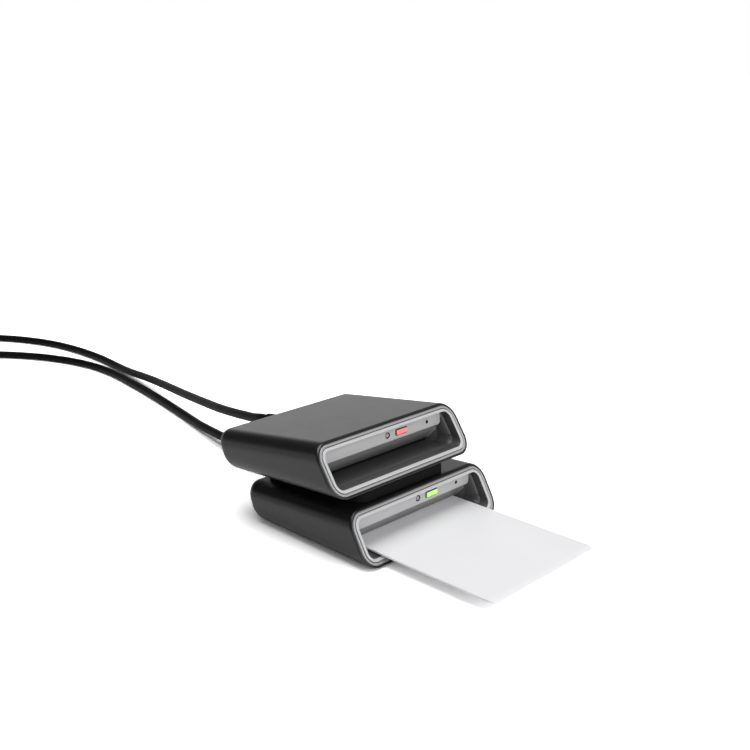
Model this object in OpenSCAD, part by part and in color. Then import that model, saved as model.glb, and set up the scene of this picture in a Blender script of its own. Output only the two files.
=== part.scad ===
// Two smart card readers, one standing on a spacer on the other, with a card in the lower one.
// Millimetres, +Z up. The mouths face -Y. X is the width, and Z = 0 is the table top.
// The origin lies on the table, below the middle of the lower cover.
// Each reader is drawn in its own frame: Y = 0 at its cover's lower front edge, Z = 0 at its underside.

/* [Cover] */
// Room beside the card, from its edge to the cover's side
side_room = 7.81; // [7:0.01:10]
// Depth of a cover's underside behind the card's end
back_room = 19.4; // [17:0.1:25]
// Height of a cover at its front
cover_h = 18; // [17:0.1:20]
// Height of a cover at its back
rear_h = 13.95; // [13:0.05:15]
// How far the top of the slanted mouth lies behind its foot
front_set = 10.4; // [8:0.1:12]
// How far the top of the back wall overhangs its foot
rear_lean = 5.8; // [3:0.1:7]
// Radius of the four long edges
corner_r = 6; // [5:0.1:7]
// Radius of the edges round the back wall
rear_r = 3; // [2:0.1:4]
// Wall of the cover, measured on the slanted mouth
wall = 1.6; // [1.4:0.05:2]
// Chamfer round the cover's front edge
edge_chamfer = 0.9; // [0.5:0.05:0.9]

/* [Mouth] */
// Thickness of the cover's lip round the bezel
lip = 0.95; // [0.9:0.05:1.1]
// Width of the grey outer band of the bezel
band = 1.05; // [0.8:0.05:1.3]
// Width of the groove between the grey band and the bright ring
groove = 0.22; // [0.15:0.01:0.4]
// Width of the bright ring
bright = 1.13; // [0.9:0.01:1.5]
// Depth of the bezel and the bright ring behind the slanted face
bezel_t = 2.6; // [2:0.1:3.2]
// Depth of the groove
groove_t = 0.9; // [0.5:0.1:1.4]
// Thickness of the bezel's seat behind the bright ring
seat_t = 1; // [0.8:0.1:1.4]
// Depth of the fascia's face behind the lower front edge
fascia_y = 11.35; // [11:0.05:13]
// Thickness of the fascia
fascia_t = 1.2; // [1:0.1:1.6]
// Height of the fascia's lower edge
fascia_z = 9.9; // [9:0.1:10.5]
// Depth of the foot of the dark ramp that leads a card into the slot
ramp_y = 15.95; // [15:0.05:17]
// Depth of the mouth's back face
liner_y = 17; // [16.8:0.1:19]

/* [Lights] */
// Width of the lit window
window_w = 6.3; // [5:0.1:8]
// Height of the lit window
window_h = 2.4; // [2:0.1:3]
// Place of the lit window to the right of the middle
window_x = 8.85; // [7:0.1:11]
// Height of the row of lights above the underside
lights_z = 12.3; // [11.8:0.05:12.8]
// Depth of the pane behind the fascia's face
pane_set = 0.5; // [0.2:0.1:0.8]
// Diameter of the round hole beside the window
port_d = 2.3; // [2:0.1:3]
// Diameter of the round insert in that hole
insert_d = 1.5; // [1:0.1:1.8]
// Place of the round hole to the right of the middle
port_x = 1.75; // [0:0.1:3]
// Diameter of the pinhole
pinhole_d = 1.3; // [1:0.1:1.6]
// Place of the pinhole to the right of the middle
pinhole_x = 22.55; // [20:0.1:25]

/* [Card] */
// Length of the card
card_l = 85.6; // [85:0.1:86]
// Width of the card
card_w = 53.98; // [53:0.01:55]
// Thickness of the card
card_t = 0.76; // [0.6:0.01:0.84]
// Corner radius of the card
card_r = 3.18; // [2.9:0.01:3.5]
// Height of the card's underside above the underside of its cover
card_z = 3.48; // [3.4:0.01:3.6]
// Length of the card that is inside the reader
card_in = 39.4; // [34:0.1:40]
// Room between the card's edge and each side of the slot
card_side_gap = 0.42; // [0.3:0.01:0.8]
// Room below the card
card_low_gap = 0.28; // [0.2:0.01:0.4]
// Room above the card
card_top_gap = 0.36; // [0.25:0.01:0.6]

/* [Inside] */
// Thickness of the circuit board
board_t = 1.2; // [1:0.1:1.6]
// Height of the circuit board's underside
board_z = 8.6; // [8.2:0.1:9]
// Room between the circuit board and the cover's sides
board_side = 7.8; // [6:0.1:9]
// Room between the circuit board and the foot of the cover's back wall
board_back = 5.8; // [5:0.1:8]
// Floor and roof thickness of the slot frame
frame_t = 1; // [0.8:0.1:1.2]
// Distance of the case screws from the circuit board's side and back edges
screw_in = 3; // [2.5:0.1:5]
// Diameter of the case screws
screw_d = 2; // [1.8:0.1:2.4]
// Clearance round a screw in a hole that it only passes through
screw_gap = 0.2; // [0.1:0.05:0.3]
// Clearance between pieces that slip together
fit = 0.1; // [0.05:0.01:0.2]

/* [Stack] */
// How far the feet stand out below a cover
foot_h = 0.5; // [0.4:0.1:1]
// Diameter of the feet
foot_d = 7; // [5:0.5:8]
// Depth of the front feet
foot_y = 9.5; // [6:0.1:12]
// Clear height between the lower cover and the upper one
stack_gap = 4.7; // [3:0.1:8]
// How far the upper reader stands forward of the lower one's top edge
stack_forward = 0.5; // [-2:0.1:3]
// How far the upper reader stands to the left
stack_left = 4.1; // [0:0.1:6]
// Half the width of the spacer between the readers
spacer_half = 22; // [21.6:0.1:26]
// Depth of the spacer's front face in the upper reader's frame
spacer_y = 2.5; // [1:0.1:5]

/* [Cord] */
// Diameter of the cords
cord_d = 3.8; // [3.4:0.1:4.2]
// Height of the cord's exit above a cover's underside
exit_z = 8; // [7:0.1:9]
// Length of the strain relief behind the cover
relief_l = 11; // [8:0.5:14]

/* [Hidden] */
$fn = 48;
over = 0.5;
cover_w = card_w + 2 * side_room;
cover_d = card_in + back_room;
board_half = cover_w / 2 - board_side;
board_y = cover_d - board_back;
screw_x = board_half - screw_in;
screw_y = board_y - screw_in;
far = 3 * cover_w;
slant = atan(front_set / cover_h);
slope = atan((cover_h - rear_h) / (cover_d + rear_lean - front_set));
lean = atan(rear_lean / rear_h);
// A thickness measured on the slanted mouth, seen square to the underside and square to the top
low_share = cos(slant);
top_share = cos(slant - slope);
opening_i = lip + band + groove + bright;
fascia_back = fascia_y + fascia_t;
slot_low = card_z - card_low_gap;
slot_high = card_z + card_t + card_top_gap;
slot_half = card_w / 2 + card_side_gap;
frame_low = slot_low - frame_t;
frame_high = slot_high + frame_t;
board_top = board_z + board_t;
pan_low = 0.2;
pan_t = wall * low_share;

function front_y(z, s) = z * tan(slant) + s / cos(slant);
function rear_y(z, i) = cover_d + z * tan(lean) - i / cos(lean);
function roof_z(y, i) = cover_h - (y - front_set) * tan(slope) - i * top_share / cos(slope);
function rear_top(i) = let(
    z = (roof_z(cover_d - i / cos(lean), i)) / (1 + tan(lean) * tan(slope))
) [rear_y(z, i), z];
function front_top(i, s) = let(
    z = roof_z(s / cos(slant), i) / (1 + tan(slant) * tan(slope))
) [front_y(z, s), z];
function unit(v) = v / norm(v);
// Where a round of radius r touches the two sides of a corner q, and where its centre lies
function touch(p, q, n, r) = let(
    u = unit(p - q), v = unit(n - q), half = acos(u * v) / 2
) [q + u * r / tan(half), q + v * r / tan(half), q + unit(u + v) * r / sin(half)];

// Long section of the cover's form: moved in by i, its front face s behind the slanted mouth
module long_section(i, s, chamfer) {
    a = [front_y(i * low_share, s), i * low_share];
    d = front_top(i, s);
    b = [rear_y(a[1], i), a[1]];
    c = rear_top(i);
    r = max(rear_r - i, rear_r / 4);
    low = touch(a, b, c, r);
    high = touch(b, c, d, r);
    up = [sin(slant), cos(slant)];
    back = [cos(slope), -sin(slope)];
    polygon([a + [chamfer, 0], low[0], low[1], high[0], high[1], d + back * chamfer,
        d - up * chamfer, a + up * chamfer]);
    translate(low[2]) circle(r);
    translate(high[2]) circle(r);
}

// Cross-section with its lower corners rounded and its top left open
module low_section(i) {
    w = cover_w / 2 - i;
    r = corner_r - i;
    translate([-w + r, i * low_share]) square([2 * (w - r), far]);
    translate([-w, i * low_share + r]) square([2 * w, far]);
    for (x = [-1, 1]) translate([x * (w - r), i * low_share + r]) circle(r);
}

// Cross-section with its upper corners rounded, hanging from 0
module top_section(i) {
    w = cover_w / 2 - i;
    r = corner_r - i;
    high = -i * top_share;
    translate([-w + r, high - far]) square([2 * (w - r), far]);
    translate([-w, high - r - far]) square([2 * w, far]);
    for (x = [-1, 1]) translate([x * (w - r), high - r]) circle(r);
}

// Section square to the back wall, with its two back corners rounded
module back_section(i) {
    w = cover_w / 2 - i;
    r = max(rear_r - i, rear_r / 4);
    translate([-w + r, -i - far]) square([2 * (w - r), far]);
    translate([-w, -i - r - far]) square([2 * w, far]);
    for (x = [-1, 1]) translate([x * (w - r), -i - r]) circle(r);
}

// Section square to the slanted mouth, with chamfered front corners
module front_section(chamfer) {
    w = cover_w / 2;
    polygon([[-w, far], [-w, chamfer], [-w + chamfer, 0], [w - chamfer, 0], [w, chamfer], [w, far]]);
}

// The cover's outer form, moved in by i on every side and by s behind the slanted mouth
module form(i, s, chamfer = 0) {
    intersection() {
        translate([-far / 2, 0, 0]) rotate([90, 0, 90]) linear_extrude(far) long_section(i, s, chamfer);
        translate([0, far, 0]) rotate([90, 0, 0]) linear_extrude(2 * far) low_section(i);
        translate([0, front_set, cover_h]) rotate([-slope, 0, 0])
            translate([0, far, 0]) rotate([90, 0, 0]) linear_extrude(2 * far) top_section(i);
        translate([0, cover_d, 0]) rotate([-lean, 0, 0])
            translate([0, 0, -far]) linear_extrude(2 * far) back_section(i);
        if (chamfer > 0) rotate([-slant, 0, 0])
            translate([0, 0, -far]) linear_extrude(2 * far) front_section(chamfer);
    }
}

// Everything from s0 to s1 behind the slanted mouth
module slab(s0, s1) {
    rotate([-slant, 0, 0]) translate([-far / 2, s0, -far]) cube([far, s1 - s0, 2 * far]);
}

// A ring that follows the mouth from inset i0 to inset i1
module mouth_ring(i0, i1, s0, s1) {
    difference() {
        intersection() {
            form(i0, -over);
            slab(s0, s1);
        }
        form(i1, -2 * over);
    }
}

module along_y(d, y0, y1) {
    translate([0, y0, 0]) rotate([-90, 0, 0]) cylinder(d = d, h = y1 - y0);
}

// A plate with rounded corners from [x0, y0] to [x1, y1]
module round_plate(x0, x1, y0, y1, h, r) {
    translate([x0 + r, y0, 0]) cube([x1 - x0 - 2 * r, y1 - y0, h]);
    translate([x0, y0 + r, 0]) cube([x1 - x0, y1 - y0 - 2 * r, h]);
    for (x = [x0 + r, x1 - r], y = [y0 + r, y1 - r]) translate([x, y, 0]) cylinder(r = r, h = h);
}

// A window with rounded corners, seen from the front, w wide and h high
module window(w, h, r, y0, y1) {
    translate([0, y1, 0]) rotate([90, 0, 0]) linear_extrude(y1 - y0) {
        square([w - 2 * r, h], center = true);
        square([w, h - 2 * r], center = true);
        for (x = [-1, 1], z = [-1, 1]) translate([x * (w / 2 - r), z * (h / 2 - r)]) circle(r);
    }
}

// Moves a piece from a reader's own frame to its place in the stack
module at_tier(tier) {
    shift = [0, -cover_d / 2, foot_h];
    if (tier == 0) translate(shift) children();
    else translate(shift + [-stack_left, front_set, cover_h]) rotate([-slope, 0, 0])
        translate([0, -stack_forward, stack_gap]) children();
}

// Housing

post_d = 5;
head_d = 4;
head_h = 1.2;
post_h = 2.8;
post_top = board_top + post_h;
flange_t = frame_low - pan_t;
flange_lap = 1.3;
pan_back = 4;
pan_half = screw_x + head_d / 2 + head_h;
pan_y0 = liner_y + flange_lap + fit;
pan_y1 = screw_y + pan_back;
pan_r = 3;
foot_x = 2 * board_half / 3;
foot_ys = [foot_y, screw_y - foot_d];
foot_in = 0.4;
relief_neck = 5.6;

module cover() {
    color([0.16, 0.16, 0.17]) difference() {
        union() {
            difference() {
                form(0, 0, edge_chamfer);
                form(wall, -over);
                intersection() {
                    form(lip, -over);
                    slab(-over, bezel_t);
                }
            }
            intersection() {
                form(wall / 2, 0);
                for (x = [-screw_x, screw_x])
                    translate([x, screw_y, board_top]) cylinder(d = post_d, h = cover_h);
            }
        }
        translate([0, 0, -over])
            round_plate(-pan_half - fit, pan_half + fit, pan_y0 - fit, pan_y1 + fit, pan_t + 2 * over, pan_r);
        for (x = [-screw_x, screw_x])
            translate([x, screw_y, board_top - over]) cylinder(d = screw_d, h = post_top - board_top + over);
        for (x = [-foot_x, foot_x])
            translate([x, foot_ys[0], -over]) cylinder(d = foot_d, h = foot_in + over);
        translate([0, 0, exit_z]) along_y(relief_neck, cover_d - wall, cover_d + rear_lean + over);
    }
}

module base_pan() {
    color([0.12, 0.12, 0.13]) difference() {
        union() {
            translate([0, 0, -pan_low])
                round_plate(-pan_half, pan_half, pan_y0, pan_y1, pan_t + pan_low, pan_r);
            intersection() {
                translate([0, 0, pan_t]) round_plate(-pan_half - flange_lap, pan_half + flange_lap,
                    pan_y0 - flange_lap, pan_y1 + flange_lap, flange_t, pan_r);
                form(wall + fit, 0);
            }
            for (x = [-screw_x, screw_x])
                translate([x, screw_y, pan_t]) cylinder(d = post_d, h = board_z - pan_t);
        }
        for (x = [-screw_x, screw_x]) translate([x, screw_y, -pan_low - over]) {
            cylinder(d = screw_d + 2 * screw_gap, h = board_z + 2 * over);
            cylinder(d = head_d + 2 * screw_gap, h = head_h + over);
        }
        for (x = [-foot_x, foot_x]) translate([x, foot_ys[1], -pan_low - over])
            cylinder(d = foot_d, h = pan_low + foot_in + over);
    }
}

module feet() {
    color([0.08, 0.08, 0.08]) for (x = [-foot_x, foot_x], y = foot_ys)
        translate([x, y, -foot_h]) cylinder(d = foot_d, h = foot_h + foot_in);
}

module case_screws() {
    cross_l = 2.2;
    cross_t = 0.5;
    color([0.75, 0.75, 0.76]) for (x = [-screw_x, screw_x]) translate([x, screw_y, 0]) difference() {
        union() {
            translate([0, 0, -pan_low]) cylinder(d = head_d, h = head_h);
            cylinder(d = screw_d, h = post_top - fit);
        }
        for (turn = [0, 90]) rotate([0, 0, turn])
            translate([-cross_l / 2, -cross_t / 2, -pan_low - over]) cube([cross_l, cross_t, over + cross_t]);
    }
}

// Bezel and mouth

module front_bezel() {
    color([0.62, 0.62, 0.63]) difference() {
        union() {
            intersection() {
                form(lip, -over);
                slab(0, bezel_t);
            }
            intersection() {
                form(wall, -over);
                slab(bezel_t - over, bezel_t + seat_t);
            }
        }
        intersection() {
            form(lip + band, -2 * over);
            slab(-over, groove_t);
        }
        intersection() {
            form(lip + band + groove, -2 * over);
            slab(-over, bezel_t);
        }
        form(opening_i, -3 * over);
    }
}

module bright_ring() {
    color([0.85, 0.85, 0.86]) mouth_ring(lip + band + groove, opening_i, 0, bezel_t);
}

liner_i = wall + fit;
mouth_half = cover_w / 2 - opening_i;
mouth_taper = 1.65;
floor_z = opening_i * low_share - fit;
roof_room = 3.2;
mouth_roof = cover_h - roof_room;

// The room inside the mouth: a tapered hollow that ends in the card slot
module mouth_room() {
    intersection() {
        translate([0, 0, -over]) linear_extrude(cover_h) polygon([
            [-mouth_half - fit, -over], [mouth_half + fit, -over], [mouth_half + fit, fascia_back / 3],
            [mouth_half - mouth_taper, fascia_back], [slot_half, ramp_y], [slot_half, liner_y + over],
            [-slot_half, liner_y + over], [-slot_half, ramp_y], [-mouth_half + mouth_taper, fascia_back],
            [-mouth_half - fit, fascia_back / 3]
        ]);
        translate([-far / 2, 0, 0]) rotate([90, 0, 90]) linear_extrude(far) polygon([
            [-over, floor_z], [ramp_y, slot_low], [liner_y + over, slot_low], [liner_y + over, slot_high],
            [ramp_y, slot_high], [fascia_back, fascia_z - fit], [fascia_back, mouth_roof],
            [-over, mouth_roof]
        ]);
    }
}

module mouth_liner() {
    stem_l = 2;
    color([0.1, 0.1, 0.11]) difference() {
        intersection() {
            form(liner_i, bezel_t + seat_t);
            translate([-far / 2, -over, 0]) cube([far, liner_y + over, far]);
        }
        mouth_room();
        translate([window_x, 0, lights_z])
            window(window_w, window_h, window_h / 4, fascia_back - over, liner_y + over);
        translate([port_x, 0, lights_z]) along_y(insert_d / 2, fascia_back - over, fascia_back + stem_l);
        translate([pinhole_x, 0, lights_z]) along_y(pinhole_d, fascia_back - over, fascia_back + stem_l);
    }
}

module fascia() {
    half = mouth_half - mouth_taper - fit;
    color([0.6, 0.6, 0.61]) difference() {
        translate([0, 0, (fascia_z + mouth_roof - fit) / 2])
            window(2 * half, mouth_roof - fit - fascia_z, fascia_t, fascia_y, fascia_back);
        translate([window_x, 0, lights_z])
            window(window_w, window_h, window_h / 4, fascia_y - over, fascia_back + over);
        translate([port_x, 0, lights_z]) along_y(port_d, fascia_y - over, fascia_back + over);
        translate([pinhole_x, 0, lights_z]) along_y(pinhole_d, fascia_y - over, fascia_back + over);
    }
}

pipe_y1 = liner_y + fit;

module led_window() {
    color([0.9, 0.5, 0.45]) translate([window_x, 0, lights_z])
        window(window_w - 2 * fit, window_h - 2 * fit, window_h / 4 - fit, fascia_y + pane_set, pipe_y1);
}

module round_insert() {
    color([0.5, 0.5, 0.51]) translate([port_x, 0, lights_z]) {
        along_y(insert_d, fascia_y + fit, fascia_back);
        along_y(insert_d / 2, fascia_back, fascia_back + fascia_t);
    }
}

// Electronics

stop_gap = 0.27;
stop_t = 3;
frame_wall = 1.6;
stop_y = card_in + stop_gap;
frame_y0 = liner_y;
frame_y1 = stop_y + stop_t;
frame_half = slot_half + frame_wall;
contact_pitch = 2.54;
// The contact pad lies where the card standard puts it
pad_from_edge = 15.06;
pad_from_side = 23.89;
pad_row = 7.62;
pad_x = card_w / 2 - pad_from_side;
pad_y = card_in - pad_from_edge;
contact_ys = [pad_y - pad_row / 2, pad_y + pad_row / 2];
spring_w = 0.9;
spring_t = 0.3;
spring_gap = 0.25;
spring_run = 4;
lever_x = -14;
lever_w = 1.6;
lever_back = 0.9;
pin_rise = 1.4;
lever_y = stop_y + lever_back;
lever_z = frame_high + pin_rise;
pin_d = 0.8;
pin_gap = 0.05;
cheek_t = 1.2;
lever_reach = 5.4;
rest_gap = 0.1;

module slot_frame() {
    window_half = lever_w / 2 + 2 * pin_gap;
    cheek_high = lever_z + cheek_t;
    color([0.14, 0.14, 0.15]) difference() {
        union() {
            translate([-frame_half, frame_y0, frame_low])
                cube([2 * frame_half, frame_y1 - frame_y0, frame_high - frame_low]);
            for (side = [-1, 1])
                translate([
                    lever_x + side * (window_half + cheek_t / 2), lever_y, (frame_high + cheek_high) / 2
                ])
                    cube([cheek_t, 2 * cheek_t, cheek_high - frame_high], center = true);
        }
        translate([-slot_half, frame_y0 - over, slot_low])
            cube([2 * slot_half, stop_y - frame_y0 + over, slot_high - slot_low]);
        translate([pad_x - 2 * contact_pitch, contact_ys[0] - spring_t - 2 * spring_gap, slot_high - over])
            cube([4 * contact_pitch, pad_row + spring_run + spring_t + 4 * spring_gap, frame_t + 2 * over]);
        translate([lever_x - window_half, lever_y - lever_reach - 2 * spring_t, slot_high - over])
            cube([2 * window_half, lever_reach + 3 * spring_t, frame_t + 2 * over]);
        translate([lever_x - 2 * cheek_t - lever_w, lever_y, lever_z])
            rotate([0, 90, 0]) cylinder(d = pin_d + 2 * pin_gap, h = 4 * cheek_t + 2 * lever_w);
    }
}

block_wall = 1.6;
block_w = 4 * contact_pitch + 2 * (block_wall - fit);
block_y0 = contact_ys[0] - block_wall;
block_y1 = contact_ys[1] + spring_run + block_wall;
spring_drop = 1.3;
spring_high = board_z - spring_drop;

// Calls its children once for each of the eight contact places
module each_contact() {
    for (k = [-1.5:1.5], y = contact_ys) translate([pad_x + k * contact_pitch, y, 0]) children();
}

module contact_block() {
    slot_w = spring_w + 2 * spring_gap;
    slot_l = spring_run + 4 * spring_gap + spring_t;
    slot_h = spring_high + 3 * spring_gap - frame_high + over;
    color([0.8, 0.78, 0.7]) difference() {
        translate([pad_x - block_w / 2, block_y0, frame_high])
            cube([block_w, block_y1 - block_y0, board_z - frame_high]);
        each_contact() translate([-slot_w / 2, -2 * spring_gap - spring_t, frame_high - over])
            cube([slot_w, slot_l, slot_h]);
    }
}

// Eight sprung contacts, drawn with their tips at height tip_z
module contact_springs(tip_z) {
    rise = spring_high - spring_t - (card_z + card_t + rest_gap);
    color([0.85, 0.7, 0.35]) each_contact() translate([-spring_w / 2, 0, tip_z])
        rotate([90, 0, 90]) linear_extrude(spring_w) polygon([
            [-spring_t, spring_t], [0, 0], [spring_t, 0], [spring_run - spring_t, rise - spring_t],
            [spring_run, rise - spring_t], [spring_run, rise], [spring_run - 2 * spring_t, rise],
            [spring_t / 2, 2 * spring_t], [-spring_t, 2 * spring_t]
        ]);
}

// The lever that feels the card, turned down by drop degrees from its raised place
module switch_lever(drop) {
    tip = card_z + card_t + rest_gap - lever_z;
    color([0.9, 0.9, 0.88]) translate([lever_x, lever_y, lever_z]) rotate([drop, 0, 0]) {
        translate([-lever_w / 2, 0, 0]) rotate([90, 0, 90]) linear_extrude(lever_w) polygon([
            [-lever_reach - spring_t, tip + spring_t], [-lever_reach, tip], [-lever_reach + spring_t, tip],
            [pin_d, -pin_d], [pin_d, pin_d], [-pin_d, pin_d], [-lever_reach - spring_t, tip + 3 * spring_t]
        ]);
        translate([-lever_w / 2 - 2 * pin_gap - cheek_t, 0, 0]) rotate([0, 90, 0])
            cylinder(d = pin_d, h = lever_w + 4 * pin_gap + 2 * cheek_t);
    }
}

module circuit_board() {
    board_r = 1;
    color([0.1, 0.35, 0.2]) difference() {
        translate([0, 0, board_z])
            round_plate(-board_half, board_half, liner_y + 3 * fit, board_y, board_t, board_r);
        for (x = [-screw_x, screw_x])
            translate([x, screw_y, board_z - over])
                cylinder(d = screw_d + 2 * screw_gap, h = board_t + 2 * over);
    }
}

module reader_chip() {
    chip_w = 7;
    chip_h = 1.1;
    leg_w = 0.4;
    leg_l = 1;
    leg_pitch = 0.8;
    chip_x = -9;
    chip_y = 34;
    color([0.07, 0.07, 0.08]) translate([chip_x, chip_y, board_top]) {
        translate([-chip_w / 2, -chip_w / 2, 0]) cube([chip_w, chip_w, chip_h]);
        for (side = [0:90:270], k = [-3:3])
            rotate([0, 0, side]) translate([k * leg_pitch - leg_w / 2, chip_w / 2, 0])
                cube([leg_w, leg_l, leg_w]);
    }
}

module crystal() {
    can_l = 11;
    can_w = 4.4;
    can_h = 3.4;
    can_x = 10;
    can_y = 40;
    flange = 0.5;
    color([0.8, 0.8, 0.8]) translate([can_x, can_y, board_top]) {
        for (e = [[0, flange], [flange, can_h]]) {
            translate([-can_l / 2 + can_w / 2, -can_w / 2 + e[0], 0])
                cube([can_l - can_w, can_w - 2 * e[0], e[1]]);
            for (x = [-1, 1])
                translate([x * (can_l - can_w) / 2, 0, 0]) cylinder(d = can_w - 2 * e[0], h = e[1]);
        }
    }
}

module status_led() {
    led_d = 2.8;
    led_l = 2.8;
    color([0.9, 0.85, 0.8]) translate([window_x, pipe_y1 + 2 * fit, lights_z]) {
        along_y(led_d, 0, led_l);
        translate([-led_d / 2, led_l / 2, board_top - lights_z])
            cube([led_d, led_l / 2, lights_z - board_top]);
    }
}

header_half = 6.5;
header_l = 4;
header_h = 2.7;
wire_d = 0.9;
wire_pitch = 2;
relief_in = 1.4;
relief_y0 = cover_d - relief_in;

module cable_header() {
    color([0.92, 0.92, 0.9]) difference() {
        translate([-header_half, board_y - header_l, board_top]) cube([2 * header_half, header_l, header_h]);
        for (k = [-1.5:1.5]) translate([k * wire_pitch, 0, board_top + header_h / 2])
            along_y(wire_d, board_y - header_l / 2, board_y + over);
    }
}

// Four wires that drop from the header to the strain relief
module inner_wires() {
    high = board_top + header_h / 2;
    back = board_y + wire_pitch;
    color([0.6, 0.15, 0.12]) for (k = [-1.5:1.5]) tube([
        [k * wire_pitch, board_y - header_l / 2, high], [k * wire_pitch, board_y + wire_d, high],
        [k * (wire_pitch + wire_d) / 2, (back + relief_y0) / 2, (high + exit_z) / 2],
        [k * wire_d * 1.2, relief_y0 - wire_d, exit_z], [k * wire_d * 1.2, relief_y0, exit_z]
    ], wire_d, loop_sides);
}

collar_d = 8;
tail_d = [6.6, 5];
collar_y = cover_d + rear_lean + 2 * fit;
relief_y1 = collar_y + relief_l;

module strain_relief() {
    rings = 4;
    ring_gap = 0.8;
    step = (relief_l - 2 * ring_gap) / rings;
    color([0.09, 0.09, 0.1]) translate([0, 0, exit_z]) difference() {
        union() {
            intersection() {
                along_y(collar_d, relief_y0, collar_y);
                translate([0, 0, -exit_z]) form(wall, 0);
            }
            along_y(relief_neck, relief_y0, collar_y);
            difference() {
                along_y(collar_d, cover_d, collar_y);
                translate([0, 0, -exit_z]) form(0, 0);
            }
            translate([0, collar_y, 0]) rotate([-90, 0, 0])
                cylinder(d1 = tail_d[0], d2 = tail_d[1], h = relief_l);
        }
        for (k = [1:rings]) difference() {
            along_y(collar_d + over, collar_y + k * step - ring_gap / 2, collar_y + k * step + ring_gap / 2);
            along_y(tail_d[1] - ring_gap / 2, collar_y, relief_y1);
        }
    }
}

// Card and spacer

pad_half = [6.3, 5.7];
pad_t = 0.1;

module smart_card() {
    color([0.93, 0.93, 0.94]) at_tier(0) difference() {
        translate([0, 0, card_z])
            round_plate(-card_w / 2, card_w / 2, card_in - card_l, card_in, card_t, card_r);
        translate([pad_x - pad_half[0], pad_y - pad_half[1], card_z + card_t - pad_t])
            cube([2 * pad_half[0], 2 * pad_half[1], pad_t + over]);
    }
}

module card_contacts() {
    color([0.85, 0.7, 0.35]) at_tier(0) difference() {
        translate([pad_x - pad_half[0], pad_y - pad_half[1], card_z + card_t - pad_t])
            cube([2 * pad_half[0], 2 * pad_half[1], pad_t]);
        for (k = [-1:1])
            translate([pad_x + k * contact_pitch - pad_t, pad_y - pad_half[1], card_z + card_t - pad_t / 2])
                cube([2 * pad_t, 2 * pad_half[1], pad_t]);
    }
}

module stacking_spacer() {
    low = -stack_gap;
    spacer_l = 50;
    spacer_r = 4;
    color([0.1, 0.1, 0.1]) at_tier(1) translate([0, 0, low])
        round_plate(-spacer_half, spacer_half, spacer_y, spacer_y + spacer_l, stack_gap - foot_h, spacer_r);
}

// Cords: the points behind each reader are chosen by hand, and lie on the table from about 150 mm back

coil_turns = 3;
coil_pitch = 4.75;
coil_mid = 22.5;
coil_out = coil_mid + coil_turns * coil_pitch / 2;
coil_in = coil_out - coil_turns * coil_pitch;
coil_steps = 24;
tie_t = 0.8;
tie_w = 7;
coil_z = cord_d / 2 + tie_t + fit;
run_sides = 8;
loop_sides = 6;
lower_route = [
    [0.4, 58, 8.1], [1.2, 68, 7.2], [2.7, 79, 6.1], [4.8, 91, 5], [7, 102.5, 4.1], [9.4, 114, 3.3],
    [12, 126, 2.6], [14.7, 137, 2.2], [17.3, 148.5, 2], [19.8, 160.5, 2], [22.2, 172.5, 2],
    [24.4, 184.5, 2], [26.4, 196.5, 2], [28.2, 208.5, 2], [29.8, 219, 2], [31, 232, 2], [31, 246, 2],
    [29, 260, 2], [25, 274, 2], [19, 288, 2], [11, 301, 2], [1, 313, 2.2], [-10, 324, 2.6]
];
upper_route = [
    [-3.5, 66, 24.1], [-2.3, 72.5, 23], [-0.8, 79.5, 21.8], [1.3, 88.5, 20.3], [4, 99.5, 18.6],
    [7.5, 111, 16.8], [11.5, 124, 14.8], [15.5, 137.3, 12.9], [19.5, 151, 11.1], [23.5, 165, 9.4],
    [27.5, 179.7, 7.7], [31, 194, 6.1], [34, 208, 4.5], [36.5, 221, 3.1], [38.8, 233, 2.2],
    [40.5, 245, 2], [42, 259, 2], [42.5, 274, 2], [42, 289, 2], [40, 304, 2], [36, 319, 2],
    [30, 333, 2], [22, 346, 2], [12, 358, 2], [1, 369, 2.2], [-11, 379, 2.6]
];
routes = [lower_route, upper_route];
coil_middles = [[-45, 317], [-7, 412]];
coil_angles = [45, 235];
coil_hands = [1, -1];

grip_l = 27;
grip_w = 15.5;
grip_h = 8;
boss_l = 8;
boss_d = [5, 6.6];
tail_l = 40;
tail_fall_shares = [[0.2, 0], [0.4, 0.1], [0.6, 0.5], [0.8, 0.9]];
layer_z = [coil_z, coil_z + coil_pitch];

function tilted(v) = [v[0], v[1] * cos(slope) + v[2] * sin(slope), v[2] * cos(slope) - v[1] * sin(slope)];
// A point of a reader's own frame, in the part's frame
function placed(tier, q) = [0, -cover_d / 2, foot_h] + (tier == 0 ? q
    : [-stack_left, front_set, cover_h] + tilted(q + [0, -stack_forward, stack_gap]));
function spot(tier, r, turn, z) = let(a = coil_angles[tier] + coil_hands[tier] * 360 * turn)
    [coil_middles[tier][0] + r * cos(a), coil_middles[tier][1] + r * sin(a), z];
// The way the cord runs where it joins and leaves its coil
function heading(tier) = let(a = coil_angles[tier]) coil_hands[tier] * [-sin(a), cos(a), 0];
function coil_r(t) = t < coil_turns ? coil_out - coil_pitch * t
    : coil_in + coil_pitch * max(t - coil_turns - 0.5, 0);
function coil_height(t) = layer_z[0] + coil_pitch * min(max(2 * (t - coil_turns), 0), 1);
coil_start = [for (tier = [0, 1]) spot(tier, coil_out, 0, layer_z[0]) - cord_d * heading(tier)];
coil_end = [for (tier = [0, 1]) spot(tier, coil_r(2 * coil_turns), 0, layer_z[1])];
plug_at = [for (tier = [0, 1]) let(e = coil_end[tier] + tail_l * heading(tier)) [e[0], e[1], grip_h / 2]];
tail_drop = grip_h / 2 - layer_z[1];

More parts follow.
